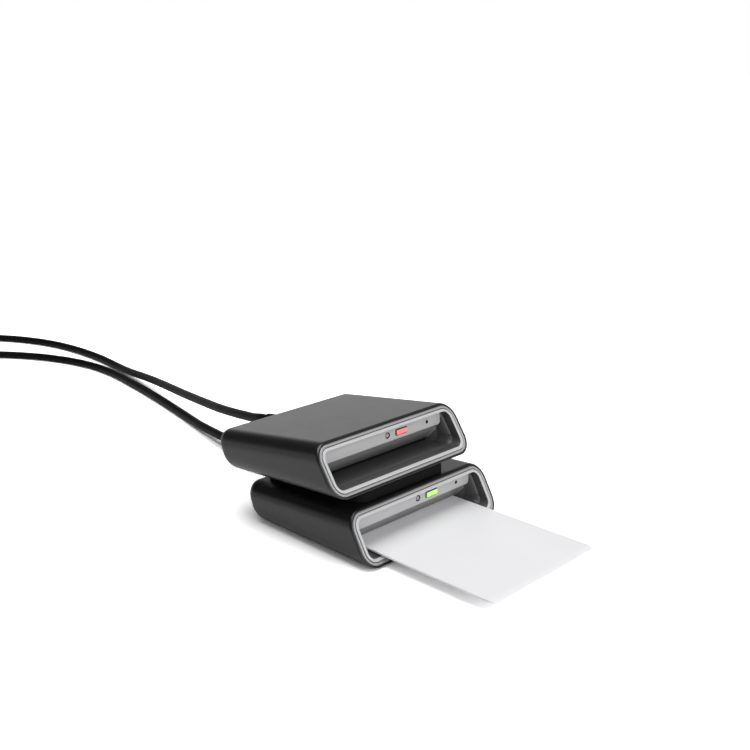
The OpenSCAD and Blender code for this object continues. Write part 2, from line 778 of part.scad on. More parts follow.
function run_points(tier) = let(
    y1 = relief_y1,
    a = placed(tier, [0, y1, exit_z]),
    b = placed(tier, [0, y1 + cord_d, exit_z])
) concat([a, b], routes[tier], [coil_start[tier]]);
function coil_points(tier) = let(u = heading(tier), n = 2 * coil_turns * coil_steps) concat(
    [coil_start[tier]],
    [for (k = [0:n]) let(t = k / coil_steps) spot(tier, coil_r(t), t, coil_height(t))],
    [for (f = tail_fall_shares) coil_end[tier] + f[0] * tail_l * u + [0, 0, f[1] * tail_drop]],
    [plug_at[tier] - cord_d * u, plug_at[tier]]
);
function way(p, i) = unit(p[min(i + 1, len(p) - 1)] - p[max(i - 1, 0)]);
function ring_points(p, i, d, sides) = let(
    t = way(p, i), side = unit(cross([0, 0, 1], t)), up = cross(t, side)
) [for (a = [0:360 / sides:359]) p[i] + d / 2 * (cos(a) * side + sin(a) * up)];
// The least gap between turns of a coil, on its centre line's points
function least_gap(p) = min([for (i = [0:len(p) - 1], j = [i + coil_steps / 2:1:len(p) - 1])
    norm(p[i] - p[j])]) - cord_d;

module tube(p, d, sides) {
    n = len(p);
    polyhedron(
        points = [for (i = [0:n - 1]) each ring_points(p, i, d, sides)],
        faces = concat(
            [for (k = [1:sides - 2]) [0, k, k + 1]],
            [for (k = [1:sides - 2]) [for (v = [0, k + 1, k]) (n - 1) * sides + v]],
            [for (i = [0:n - 2], k = [0:sides - 1]) let(a = i * sides + k, b = i * sides + (k + 1) % sides)
                each [[a, a + sides, b + sides], [a, b + sides, b]]]
        )
    );
}

module cord(tier) {
    color([0.05, 0.05, 0.05]) tube(run_points(tier), cord_d, run_sides);
}

module cord_coil(tier) {
    p = coil_points(tier);
    echo(least_gap_between_turns = least_gap(p));
    color([0.05, 0.05, 0.05]) tube(p, cord_d, loop_sides);
}

// A strap round the coil, where its two layers lie above each other
module cord_tie(tier) {
    turn = 0.75;
    bow = 0.8;
    low = coil_z - cord_d / 2 - fit;
    high = layer_z[1] + cord_d / 2 + fit;
    near = coil_r(coil_turns - 1 + turn) - cord_d / 2 - bow;
    away = coil_r(turn) + cord_d / 2 + fit;
    color([0.13, 0.13, 0.13]) translate([coil_middles[tier][0], coil_middles[tier][1], 0])
        rotate([0, 0, coil_angles[tier] + coil_hands[tier] * 360 * turn]) difference() {
            translate([near - tie_t, -tie_w / 2, low - tie_t])
                cube([away - near + 2 * tie_t, tie_w, high - low + 2 * tie_t]);
            translate([near, -tie_w / 2 - over, low]) cube([away - near, tie_w + 2 * over, high - low]);
        }
}

// Moves a plug's piece to the end of its cord, with the plug along +X
module at_plug(tier) {
    u = heading(tier);
    translate(plug_at[tier]) rotate([0, 0, atan2(u[1], u[0])]) children();
}

grip_x = boss_l;
shell_x = boss_l + grip_l;
shell_l = 12;
shell_w = 12;
shell_h = 4.5;
shell_t = 0.3;
tongue_h = 1.9;
strip_t = 0.15;
strip_w = 1;
strip_ys = [-3.5, -strip_w, strip_w, 3.5];
strip_share = 0.75;

module plug_grip(tier) {
    r = 2.5;
    rib = 0.5;
    color([0.08, 0.08, 0.08]) at_plug(tier) difference() {
        union() {
            rotate([0, 90, 0]) cylinder(d1 = boss_d[0], d2 = boss_d[1], h = boss_l);
            translate([0, 0, -grip_h / 2 + rib])
                round_plate(grip_x, shell_x, -grip_w / 2, grip_w / 2, grip_h - 2 * rib, r);
            translate([0, 0, -grip_h / 2])
                round_plate(grip_x + rib, shell_x - rib, rib - grip_w / 2, grip_w / 2 - rib, grip_h, r - rib);
        }
        for (side = [-1, 1], k = [1:4]) translate([grip_x + k * grip_l / 8, side * grip_w / 2 - rib, -grip_h])
            cube([rib * 2, rib * 2, 2 * grip_h]);
    }
}

module plug_shell(tier) {
    hole = 2.2;
    color([0.8, 0.8, 0.82]) at_plug(tier) difference() {
        translate([shell_x, -shell_w / 2, -shell_h / 2]) cube([shell_l, shell_w, shell_h]);
        translate([shell_x - over, -shell_w / 2 + shell_t, -shell_h / 2 + shell_t])
            cube([shell_l + 2 * over, shell_w - 2 * shell_t, shell_h - 2 * shell_t]);
        for (y = [-1, 1]) translate([shell_x + shell_l / 2, y * hole * 1.2 - hole / 2, -shell_h])
            cube([hole, hole, 2 * shell_h]);
    }
}

module plug_tongue(tier) {
    color([0.9, 0.9, 0.88]) at_plug(tier) difference() {
        translate([shell_x, -shell_w / 2 + shell_t, shell_h / 2 - shell_t - tongue_h])
            cube([shell_l - shell_t, shell_w - 2 * shell_t, tongue_h]);
        strips(tier);
    }
}

module strips(tier) {
    for (y = strip_ys) translate([shell_x, y - strip_w / 2, shell_h / 2 - shell_t - tongue_h - strip_t / 2])
        cube([strip_share * shell_l, strip_w, strip_t]);
}

module plug_contacts(tier) {
    color([0.85, 0.7, 0.35]) at_plug(tier) strips(tier);
}

// How far the sprung contacts and the lever stand lower in the upper reader, which holds no card
card_tip_z = card_z + card_t + rest_gap;
empty_drop = 0.45;
lever_drop = 5;

// Part to show: a node's name, or all

at_tier(0) cover();  // lower_cover
at_tier(0) base_pan();  // lower_base_pan
at_tier(0) feet();  // lower_feet
at_tier(0) case_screws();  // lower_case_screws
at_tier(0) front_bezel();  // lower_front_bezel
at_tier(0) bright_ring();  // lower_bright_ring
at_tier(0) mouth_liner();  // lower_mouth_liner
at_tier(0) fascia();  // lower_fascia
at_tier(0) led_window();  // lower_led_window
at_tier(0) round_insert();  // lower_round_insert
at_tier(0) slot_frame();  // lower_slot_frame
at_tier(0) contact_block();  // lower_contact_block
at_tier(0) contact_springs(card_tip_z);  // lower_contact_springs
at_tier(0) switch_lever(0);  // lower_switch_lever
at_tier(0) circuit_board();  // lower_circuit_board
at_tier(0) reader_chip();  // lower_reader_chip
at_tier(0) crystal();  // lower_crystal
at_tier(0) status_led();  // lower_status_led
at_tier(0) cable_header();  // lower_cable_header
at_tier(0) inner_wires();  // lower_inner_wires
at_tier(0) strain_relief();  // lower_strain_relief
cord(0);  // lower_cord
cord_coil(0);  // lower_cord_coil
cord_tie(0);  // lower_cord_tie
plug_grip(0);  // lower_plug_grip
plug_shell(0);  // lower_plug_shell
plug_tongue(0);  // lower_plug_tongue
plug_contacts(0);  // lower_plug_contacts
at_tier(1) cover();  // upper_cover
at_tier(1) base_pan();  // upper_base_pan
at_tier(1) feet();  // upper_feet
at_tier(1) case_screws();  // upper_case_screws
at_tier(1) front_bezel();  // upper_front_bezel
at_tier(1) bright_ring();  // upper_bright_ring
at_tier(1) mouth_liner();  // upper_mouth_liner
at_tier(1) fascia();  // upper_fascia
at_tier(1) led_window();  // upper_led_window
at_tier(1) round_insert();  // upper_round_insert
at_tier(1) slot_frame();  // upper_slot_frame
at_tier(1) contact_block();  // upper_contact_block
at_tier(1) contact_springs(card_tip_z - empty_drop);  // upper_contact_springs
at_tier(1) switch_lever(lever_drop);  // upper_switch_lever
at_tier(1) circuit_board();  // upper_circuit_board
at_tier(1) reader_chip();  // upper_reader_chip
at_tier(1) crystal();  // upper_crystal
at_tier(1) status_led();  // upper_status_led
at_tier(1) cable_header();  // upper_cable_header
at_tier(1) inner_wires();  // upper_inner_wires
at_tier(1) strain_relief();  // upper_strain_relief
cord(1);  // upper_cord
cord_coil(1);  // upper_cord_coil
cord_tie(1);  // upper_cord_tie
plug_grip(1);  // upper_plug_grip
plug_shell(1);  // upper_plug_shell
plug_tongue(1);  // upper_plug_tongue
plug_contacts(1);  // upper_plug_contacts
smart_card();
card_contacts();
stacking_spacer();
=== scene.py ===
"""Two smart card readers in a stack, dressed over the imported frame. Metres, in the frame's axes."""
import math

import bmesh
import bpy
from bpy.props import FloatProperty, FloatVectorProperty, IntProperty, PointerProperty
from mathutils import Matrix, Vector


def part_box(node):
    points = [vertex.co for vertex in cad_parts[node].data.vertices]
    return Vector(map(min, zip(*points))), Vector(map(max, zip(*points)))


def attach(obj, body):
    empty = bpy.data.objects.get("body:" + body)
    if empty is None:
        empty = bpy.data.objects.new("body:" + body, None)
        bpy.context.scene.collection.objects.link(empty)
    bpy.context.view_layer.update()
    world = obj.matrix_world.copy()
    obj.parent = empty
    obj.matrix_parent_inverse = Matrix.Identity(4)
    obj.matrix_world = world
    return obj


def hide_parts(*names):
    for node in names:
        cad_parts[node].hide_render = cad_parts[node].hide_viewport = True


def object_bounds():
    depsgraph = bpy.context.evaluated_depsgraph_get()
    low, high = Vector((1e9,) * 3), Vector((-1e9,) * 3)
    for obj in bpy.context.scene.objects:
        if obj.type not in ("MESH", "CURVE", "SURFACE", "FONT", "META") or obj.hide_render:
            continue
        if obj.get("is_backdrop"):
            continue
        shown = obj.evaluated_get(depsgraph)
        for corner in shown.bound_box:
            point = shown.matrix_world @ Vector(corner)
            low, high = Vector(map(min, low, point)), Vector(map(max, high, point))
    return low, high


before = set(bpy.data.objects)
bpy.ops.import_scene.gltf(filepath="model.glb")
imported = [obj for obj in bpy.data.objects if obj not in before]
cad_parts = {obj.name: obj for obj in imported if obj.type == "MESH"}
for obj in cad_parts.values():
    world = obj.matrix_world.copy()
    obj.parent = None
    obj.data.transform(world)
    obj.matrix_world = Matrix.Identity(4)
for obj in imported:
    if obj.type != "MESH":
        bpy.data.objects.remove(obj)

bl_info = {
    "name": "Stacked card readers",
    "version": (1, 0, 0),
    "blender": (4, 5, 0),
    "location": "3D View > Sidebar > Card readers",
    "description": "Builds two stacked smart card readers with their cords, and a plain studio",
    "category": "Add Mesh",
}

CAD_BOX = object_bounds()
TIERS = ("lower", "upper")
MM = 0.001
SAME_SPOT = 1e-7      # vertices nearer than this are one
FIT = 0.1 * MM        # clearance between pieces that nest


# Sizes and colours that a user would change

def length(title, text, metres):
    return FloatProperty(name=title, description=text, default=metres, min=0.0, unit="LENGTH", precision=5)


def tint(title, text, red, green, blue):
    return FloatVectorProperty(name=title, description=text, default=(red, green, blue, 1.0), size=4,
                               min=0.0, max=1.0, subtype="COLOR")


class CoverSizes(bpy.types.PropertyGroup):
    """Sizes of a reader's cover."""

    width: length("Width", "Width across the sides", 0.0696)
    depth: length("Depth", "Depth along the underside", 0.0588)
    height: length("Height", "Height at the front", 0.018)
    rear_height: length("Rear height", "Height at the back", 0.01395)
    front_set: length("Front set", "How far the top of the slanted mouth lies behind its foot", 0.0104)
    rear_lean: length("Rear lean", "How far the top of the back wall overhangs its foot", 0.0058)
    corner: length("Corner", "Radius of the four long edges", 0.006)
    rear_corner: length("Rear corner", "Radius round the back wall", 0.003)
    wall: length("Wall", "Wall of the cover, measured on the slanted mouth", 0.0016)
    lip: length("Lip", "Rounded lip of the cover round the bezel", 0.00095)


class MouthSizes(bpy.types.PropertyGroup):
    """Sizes of the bezel, the bright ring and the room behind them."""

    band: length("Band", "Width of the grey outer band", 0.00105)
    groove: length("Groove", "Width of the groove inside the band", 0.00022)
    ring: length("Ring", "Width of the bright ring", 0.00113)
    bezel_depth: length("Bezel depth", "Depth of the bezel behind the slanted face", 0.0026)
    groove_depth: length("Groove depth", "Depth of the groove", 0.0009)
    seat: length("Seat", "Thickness of the seat behind the bright ring", 0.001)
    fascia_y: length("Fascia depth", "Depth of the fascia's face", 0.01135)
    fascia_t: length("Fascia thickness", "Thickness of the fascia", 0.0012)
    fascia_z: length("Fascia foot", "Height of the fascia's lower edge", 0.0099)
    roof: length("Roof", "Height of the mouth's roof", 0.0148)
    ramp_y: length("Ramp depth", "Depth at which the ramp meets the slot", 0.01595)
    back_y: length("Back depth", "Depth of the mouth's back", 0.017)
    taper: length("Taper", "How far each side wall runs inwards up to the fascia", 0.00165)


class LightSizes(bpy.types.PropertyGroup):
    """Sizes of what the fascia holds."""

    height: length("Row height", "Height of the row above the underside", 0.0123)
    window_x: length("Window place", "Place of the lit window to the right of the middle", 0.00885)
    window_w: length("Window width", "Width of the window's hole", 0.0063)
    window_h: length("Window height", "Height of the window's hole", 0.0024)
    gap: length("Window gap", "Gap between the pane and its hole", 0.00022)
    port_x: length("Port place", "Place of the round hole to the right of the middle", 0.00175)
    port_d: length("Port diameter", "Diameter of the round hole", 0.0023)
    insert_d: length("Insert diameter", "Diameter of the insert in the round hole", 0.0015)
    pinhole_x: length("Pinhole place", "Place of the pinhole to the right of the middle", 0.02255)
    pinhole_d: length("Pinhole diameter", "Diameter of the pinhole", 0.0013)


class CardSizes(bpy.types.PropertyGroup):
    """Sizes of the chip card and its slot."""

    long: length("Length", "Length of the card", 0.0856)
    wide: length("Width", "Width of the card", 0.05398)
    thick: length("Thickness", "Thickness of the card", 0.00076)
    corner: length("Corner", "Radius of the card's corners", 0.00318)
    inside: length("Inside", "Length of the card inside the reader", 0.0394)
    height: length("Height", "Height of the card's underside above the cover's", 0.00348)
    slot_half: length("Slot", "Half the width of the slot", 0.02741)
    slot_low: length("Slot floor", "Height of the slot's floor", 0.0032)
    slot_high: length("Slot roof", "Height of the slot's roof", 0.0046)


class StackSizes(bpy.types.PropertyGroup):
    """How the readers stand on each other, and what is under them."""

    foot: length("Foot", "How far the feet stand out", 0.0005)
    foot_d: length("Foot diameter", "Diameter of the feet", 0.007)
    gap: length("Gap", "Clear height between the covers", 0.0047)
    forward: length("Forward", "How far the upper reader stands forward", 0.0005)
    left: length("Left", "How far the upper reader stands to the left", 0.0041)
    pan_half: length("Pan", "Half the width of the base pan's hole", 0.0273)
    pan_front: length("Pan front", "Front end of the base pan's hole", 0.0183)
    pan_back: length("Pan back", "Back end of the base pan's hole", 0.0541)
    spacer_half: length("Spacer", "Half the width of the spacer", 0.022)
    spacer_front: length("Spacer front", "Front end of the spacer", 0.0025)
    spacer_long: length("Spacer length", "Length of the spacer", 0.05)


class CordSizes(bpy.types.PropertyGroup):
    """Sizes of the cords and their plugs."""

    thick: length("Thickness", "Diameter of the cords", 0.0038)
    exit_z: length("Exit", "Height of the exit above the underside", 0.008)
    relief: length("Relief", "Length of the strain relief", 0.011)
    turns: IntProperty(name="Turns", description="Turns in each layer of a coil", default=3, min=1)
    pitch: length("Pitch", "Distance between neighbouring turns", 0.00475)
    middle: length("Coil radius", "Radius at the middle of the turns", 0.0225)
    tail: length("Tail", "Length from the coil to the plug", 0.04)
    strap_t: length("Strap thickness", "Thickness of the strap round a coil", 0.0008)
    strap_w: length("Strap width", "Width of the strap round a coil", 0.007)


class Finishes(bpy.types.PropertyGroup):
    """Colours of the finishes."""

    housing: tint("Housing", "Dark textured plastic", 0.008, 0.008, 0.0083)
    band: tint("Band", "Grey painted band", 0.36, 0.36, 0.365)
    ring: tint("Ring", "Bright ring", 0.54, 0.54, 0.55)
    fascia: tint("Fascia", "Grey fascia", 0.43, 0.43, 0.435)
    liner: tint("Liner", "Black plastic of the mouth", 0.055, 0.055, 0.056)
    step: tint("Step", "Grey step under the fascia", 0.2, 0.2, 0.202)
    red: tint("Red light", "Lit pane of the empty reader", 0.68, 0.2, 0.19)
    green: tint("Green light", "Lit pane of the reader that holds a card", 0.46, 0.84, 0.19)
    card: tint("Card", "White card", 0.86, 0.86, 0.875)
    cord: tint("Cord", "Black cord", 0.003, 0.003, 0.003)


class ReaderSettings(bpy.types.PropertyGroup):
    """Everything that the operators read."""

    cover: PointerProperty(type=CoverSizes)
    mouth: PointerProperty(type=MouthSizes)
    lights: PointerProperty(type=LightSizes)
    card: PointerProperty(type=CardSizes)
    stack: PointerProperty(type=StackSizes)
    cord: PointerProperty(type=CordSizes)
    finish: PointerProperty(type=Finishes)


# Material recipes

class Flow:
    """A socket that takes part in Python sums. Each sum on values adds its Math node."""

    def __init__(self, recipe, socket):
        self.recipe, self.socket = recipe, socket

    def _sum(self, operation, first, second):
        return self.recipe.node("ShaderNodeMath", {"operation": operation}, {0: first, 1: second})

    def __add__(self, other):
        return self._sum("ADD", self, other)

    def __radd__(self, other):
        return self._sum("ADD", other, self)

    def __sub__(self, other):
        return self._sum("SUBTRACT", self, other)

    def __mul__(self, other):
        return self._sum("MULTIPLY", self, other)

    def __rmul__(self, other):
        return self._sum("MULTIPLY", other, self)

    def __truediv__(self, other):
        return self._sum("DIVIDE", self, other)


class Recipe:
    """Builds a material's or a world's nodes."""

    def __init__(self, owner):
        owner.use_nodes = True
        self.owner, self.tree = owner, owner.node_tree
        self.tree.nodes.clear()

    def node(self, kind, settings=None, values=None, out=0):
        """Adds a node: its settings first, then the values or links of its sockets. Gives one output."""
        made = self.tree.nodes.new(kind)
        for key, value in (settings or {}).items():
            if key == "stops":
                ramp = made.color_ramp
                while len(ramp.elements) < len(value):
                    ramp.elements.new(0.5)
                for stop, (place, shade) in zip(ramp.elements, value):
                    stop.position, stop.color = place, shade
            else:
                setattr(made, key, value)
        for key, value in (values or {}).items():
            if isinstance(value, Flow):
                self.tree.links.new(value.socket, made.inputs[key])
            else:
                made.inputs[key].default_value = value
        return Flow(self, made.outputs[out])

    def place(self):
        return self.node("ShaderNodeTexCoord", out="Object")

    def noise(self, where, grain, detail=2.0):
        """Soft noise whose features are grain metres wide."""
        return self.node("ShaderNodeTexNoise", None, {"Vector": where, "Scale": 1 / grain, "Detail": detail})

    def blend(self, factor, first, second):
        return self.node("ShaderNodeMix", {"data_type": "RGBA"}, {0: factor, 6: first, 7: second}, out=2)

    def ramp(self, value, *stops):
        """Grey ramp through stops of (value, level)."""
        return self.node("ShaderNodeValToRGB", {"stops": [(at, grey(level)) for at, level in stops]},
                         {0: value})

    def bump(self, height, depth, strength=1.0):
        return self.node("ShaderNodeBump", None, {"Strength": strength, "Distance": depth, "Height": height})

    def surface(self, **values):
        """Ends a material in a Principled BSDF. Words in names are joined by _."""
        named = {key.replace("_", " "): value for key, value in values.items()}
        shader = self.node("ShaderNodeBsdfPrincipled", None, named)
        self.node_output(shader)
        return self.owner

    def node_output(self, shader):
        out = self.tree.nodes.new("ShaderNodeOutputMaterial")
        self.tree.links.new(shader.socket, out.inputs["Surface"])


def shaded(colour, share):
    """The colour, made lighter or darker by a share."""
    return tuple(min(1.0, c * share) for c in colour[:3]) + (1.0,)


def grey(level):
    return (level, level, level, 1.0)


def moulded(name, colour, roughness, grain=0.35 * MM, depth=0.012 * MM, mottle=0.06, **more):
    """Moulded plastic: a fine spark-eroded grain, soft mottling and slightly uneven gloss."""
    r = Recipe(bpy.data.materials.new(name))
    where = r.place()
    fine = r.noise(where, grain, 3.0)
    cloud = r.noise(where, 9 * MM)
    shade = r.blend(0.65 * cloud + 0.35 * fine, shaded(colour, 1 - mottle), shaded(colour, 1 + mottle))
    return r.surface(Base_Color=shade, Roughness=roughness + 0.05 * (cloud - 0.5) + 0.12 * (fine - 0.5),
                     Normal=r.bump(fine, depth), **more)


def metal(name, colour, roughness, metallic, along=(1.0, 1.0, 1.0), grain=0.3 * MM):
    """Satin metal or metal paint, with a grain that can be drawn out along one axis."""
    r = Recipe(bpy.data.materials.new(name))
    where = r.node("ShaderNodeMapping", None, {"Vector": r.place(), "Scale": along})
    fine = r.noise(where, grain, 3.0)
    cloud = r.noise(r.place(), 6 * MM)
    shade = r.blend(fine, shaded(colour, 0.96), shaded(colour, 1.04))
    return r.surface(Base_Color=shade, Metallic=metallic, Roughness=roughness + 0.1 * (cloud - 0.5),
                     Normal=r.bump(fine, 0.002 * MM))


def lens(name, lit, side_painted_shade):
    """Tinted lens. The attribute called glow is 1 on the pane's face, which glows, and 0 on its sides, whose
    colour is painted shade without glow.
    """
    r = Recipe(bpy.data.materials.new(name))
    glow = r.node("ShaderNodeAttribute", {"attribute_name": "glow"}, out="Fac")
    cloud = r.noise(r.place(), 1.4 * MM)
    pane = r.blend(cloud, shaded(lit, 0.9), shaded(lit, 1.1))
    # Painted shade: the sides take the darker colour, and the face takes the lit one.
    return r.surface(Base_Color=r.blend(glow, side_painted_shade, pane), Roughness=0.28 + 0.1 * cloud,
                     Emission_Color=r.blend(glow, grey(0.0), pane), Emission_Strength=0.45)


def board_green(name):
    """Circuit board: straight tracks that stand out under the solder mask."""
    r = Recipe(bpy.data.materials.new(name))
    where = r.place()
    track = r.node("ShaderNodeTexBrick", {"offset": 0.37, "squash": 1.7, "squash_frequency": 3},
                   {"Vector": where, "Scale": 400.0, "Mortar Size": 0.07, "Mortar Smooth": 0.1,
                    "Brick Width": 2.3, "Row Height": 0.55}, out="Fac")
    shade = r.blend(track, (0.01, 0.075, 0.03, 1.0), (0.025, 0.17, 0.065, 1.0))
    return r.surface(Base_Color=shade, Roughness=0.38 + 0.1 * r.noise(where, 3 * MM),
                     Normal=r.bump(track, 0.02 * MM, 0.6))


def woven(name, colour):
    """Woven strap: two crossing sets of fine ribs."""
    r = Recipe(bpy.data.materials.new(name))
    where = r.place()
    ribs = [r.node("ShaderNodeTexWave", {"bands_direction": way}, {"Vector": where, "Scale": 620.0}, out=1)
            for way in ("X", "Y")]
    weave = 0.5 * ribs[0] + 0.5 * ribs[1]
    return r.surface(Base_Color=r.blend(weave, shaded(colour, 0.6), shaded(colour, 1.5)), Roughness=0.85,
                     Normal=r.bump(weave, 0.12 * MM), Sheen_Weight=0.25)


def sheath(name, colour, roughness):
    """Cord jacket: smooth soft plastic with faint ripples and dulled patches."""
    r = Recipe(bpy.data.materials.new(name))
    where = r.place()
    ripple = r.noise(where, 5 * MM)
    fine = r.noise(where, 0.5 * MM)
    return r.surface(Base_Color=r.blend(ripple, shaded(colour, 0.85), shaded(colour, 1.25)),
                     Roughness=roughness + 0.16 * (ripple - 0.5) + 0.06 * fine,
                     Normal=r.bump(0.8 * ripple + 0.2 * fine, 0.05 * MM), Specular_IOR_Level=0.1)


WIRES = {
    "red": (0.45, 0.02, 0.015, 1.0), "white": (0.7, 0.69, 0.66, 1.0), "green": (0.02, 0.3, 0.06, 1.0),
    "black": (0.015, 0.015, 0.015, 1.0),
}


def make_finishes(f):
    """All finishes: those of the record's slots, the bare step and the other three wires."""
    made = {
        "housing": moulded("textured black plastic", f.housing, 0.3, grain=0.3 * MM, depth=0.009 * MM,
                           Specular_IOR_Level=0.6),
        "pan": moulded("plain black plastic", (0.016, 0.016, 0.017, 1.0), 0.5),
        "rubber": moulded("rubber", (0.004, 0.004, 0.004, 1.0), 0.85, grain=0.8 * MM, depth=0.02 * MM,
                          Specular_IOR_Level=0.15),
        "steel": metal("zinc-plated steel", (0.62, 0.62, 0.64, 1.0), 0.32, 1.0),
        "bezel_grey": metal("grey metal paint", f.band, 0.42, 0.2, grain=0.12 * MM),
        "silver_ring": metal("bright satin ring", f.ring, 0.42, 0.15, grain=0.12 * MM),
        "liner_black": moulded("black mouth plastic", f.liner, 0.4, depth=0.006 * MM),
        "step_grey": moulded("glossy grey step", f.step, 0.3, depth=0.004 * MM),
        "fascia_grey": moulded("satin grey paint", f.fascia, 0.42, grain=0.14 * MM, depth=0.003 * MM,
                               mottle=0.04, Specular_IOR_Level=0.3),
        # The last colour of each lens is painted shade for the pane's sides.
        "window_green": lens("green lens", f.green, (0.09, 0.22, 0.015, 1.0)),
        "window_red": lens("red lens", f.red, (0.3, 0.012, 0.012, 1.0)),
        "insert_grey": moulded("grey insert", (0.3, 0.3, 0.305, 1.0), 0.45, grain=0.2 * MM),
        "frame_black": moulded("black slot frame", (0.02, 0.02, 0.022, 1.0), 0.5),
        "block_cream": moulded("cream contact block", (0.6, 0.55, 0.42, 1.0), 0.45),
        "gold": metal("gold plating", (0.83, 0.6, 0.25, 1.0), 0.25, 1.0, grain=0.5 * MM),
        "lever_white": moulded("white lever plastic", (0.78, 0.77, 0.73, 1.0), 0.35),
        "board_green": board_green("circuit board"),
        "chip_black": moulded("chip resin", (0.02, 0.02, 0.022, 1.0), 0.6, grain=0.15 * MM),
        "led_clear": moulded("clear lamp resin", (0.8, 0.74, 0.7, 1.0), 0.15),
        "header_white": moulded("white header plastic", (0.75, 0.74, 0.7, 1.0), 0.4),
        "cord_black": sheath("black cord jacket", f.cord, 0.42),
        "strap_black": woven("woven strap", (0.03, 0.03, 0.03, 1.0)),
        "plug_black": moulded("plug plastic", (0.014, 0.014, 0.014, 1.0), 0.42, depth=0.006 * MM),
        "plug_steel": metal("plug shell steel", (0.66, 0.66, 0.68, 1.0), 0.24, 1.0, along=(1.0, 8.0, 8.0)),
        "tongue_white": moulded("white plug tongue", (0.8, 0.79, 0.75, 1.0), 0.38),
        "card_white": moulded("white card", f.card, 0.4, grain=0.5 * MM, depth=0.001 * MM, mottle=0.012),
    }
    for word, colour in WIRES.items():
        made[f"wire_{word}"] = sheath(f"{word} wire", colour, 0.4)
    return made


# Mesh helpers

class Cover:
    """Outlines of a reader's form, in the reader's own frame."""

    steps = 9

    def __init__(self, settings):
        c, m = settings.cover, settings.mouth
        self.c = c
        self.slant = math.atan2(c.front_set, c.height)
        self.slope = math.atan2(c.height - c.rear_height, c.depth + c.rear_lean - c.front_set)
        self.lean = math.atan2(c.rear_lean, c.rear_height)
        self.opening = c.lip + m.band + m.groove + m.ring

    def outline(self, half, low, high, radius, foot, run):
        """A rounded outline on a plane that stands at foot and leans back by run for each unit of height."""
        hold = min(0.5 * MM, radius / 4)
        points = []
        for corner, (side, middle) in enumerate(((1, low + radius), (1, high - radius),
                                                 (-1, high - radius), (-1, low + radius))):
            turn = [math.pi / 2 * (corner - 1 + k / self.steps) for k in range(self.steps + 1)]
            arc = [(side * (half - radius) + radius * math.cos(a), middle + radius * math.sin(a))
                   for a in turn]
            before = (arc[0][0] + hold * math.sin(turn[0]), arc[0][1] - hold * math.cos(turn[0]))
            after = (arc[-1][0] - hold * math.sin(turn[-1]), arc[-1][1] + hold * math.cos(turn[-1]))
            points += [before, *arc, after]
        return [Vector((x, foot + z * run, z)) for x, z in points]

    def roof(self, inset, foot, run):
        """Height of the roof where a leaning plane meets it."""
        c, fall = self.c, math.tan(self.slope)
        drop = inset * math.cos(self.slant - self.slope) / math.cos(self.slope)
        return (c.height + c.front_set * fall - foot * fall - drop) / (1 + run * fall)

    def section(self, inset, foot, run):
        """The whole form's outline on a leaning plane, shrunk by inset."""
        c = self.c
        return self.outline(c.width / 2 - inset, inset * math.cos(self.slant), self.roof(inset, foot, run),
                            max(c.corner - inset, 0.4 * MM), foot, run)

    def mouth(self, inset, behind):
        """Outline on a plane that lies behind the slanted mouth."""
        return self.section(inset, behind / math.cos(self.slant), math.tan(self.slant))

    def back(self, inset, before):
        """Outline on a plane that lies before the leaning back wall."""
        return self.section(inset, self.c.depth - before / math.cos(self.lean), math.tan(self.lean))

    def between(self, inset, foot):
        """Outline on a plane between the mouth and the back wall."""
        front, span = 6 * MM, self.c.depth - 10 * MM
        share = (foot - front) / span
        return self.section(inset, foot, math.tan(self.slant) * (1 - share) + math.tan(self.lean) * share)


def standing(settings, tier):
    """Matrix that takes a reader's own frame to its place in the stack."""
    s, c = settings.stack, settings.cover
    base = Vector((0, -c.depth / 2, s.foot))
    if tier == 0:
        return Matrix.Translation(base)
    slope = Cover(settings).slope
    return (Matrix.Translation(base + Vector((-s.left, c.front_set, c.height)))
            @ Matrix.Rotation(-slope, 4, "X") @ Matrix.Translation((0, -s.forward, s.gap)))


def once(items):
    """The items without repeats, in their order."""
    return list(dict.fromkeys(items))


def ring_edges(verts):
    """The edges whose ends are both among the vertices."""
    inside = set(verts)
    return [e for e in once(e for v in verts for e in v.link_edges) if set(e.verts) <= inside]


def skin(bm, loops, closed=False, caps=(False, False)):
    """Moves a circle on to the first loop and extrudes it through the others. Gives the end loops' edges."""
    verts = bmesh.ops.create_circle(bm, segments=len(loops[0]), radius=1.0)["verts"]
    for v, co in zip(verts, loops[0]):
        v.co = co
    first = edges = ring_edges(verts)
    for loop in loops[1:] + (loops[:1] if closed else []):
        made = bmesh.ops.extrude_edge_only(bm, edges=edges)["geom"]
        fresh = {g for g in made if isinstance(g, bmesh.types.BMVert)}
        verts = [next(e.other_vert(v) for e in v.link_edges if e.other_vert(v) in fresh) for v in verts]
        for v, co in zip(verts, loop):
            v.co = co
        edges = ring_edges(verts)
    if closed:
        bmesh.ops.remove_doubles(bm, verts=bm.verts[:], dist=SAME_SPOT)
        return [], []
    for cap, rim in zip(caps, (first, edges)):
        if cap:
            bmesh.ops.edgeloop_fill(bm, edges=rim)
    return first, edges


def rounded_rectangle(width, height, radius, grow=0.0, steps=6):
    """Points of a rounded rectangle about the origin, in its own plane."""
    r = max(radius + grow, 0.02 * MM)
    points = []
    for corner, (sx, sy) in enumerate(((1, -1), (1, 1), (-1, 1), (-1, -1))):
        x, y = sx * (width / 2 + grow - r), sy * (height / 2 + grow - r)
        points += [(x + r * math.cos(a), y + r * math.sin(a))
                   for a in (math.pi / 2 * (corner - 1 + k / steps) for k in range(steps + 1))]
    return points


def disc(diameter, grow=0.0, steps=32):
    """Points of a circle about the origin, in its own plane."""
    r, turn = diameter / 2 + grow, 2 * math.pi / steps
    return [(r * math.cos(turn * k), r * math.sin(turn * k)) for k in range(steps)]


def rounded(bm, edges, radius, segments):
    """Rounds edges by a radius."""
    bmesh.ops.bevel(bm, geom=edges, offset=radius, segments=segments, profile=0.5, affect="EDGES",
                    material=-1)


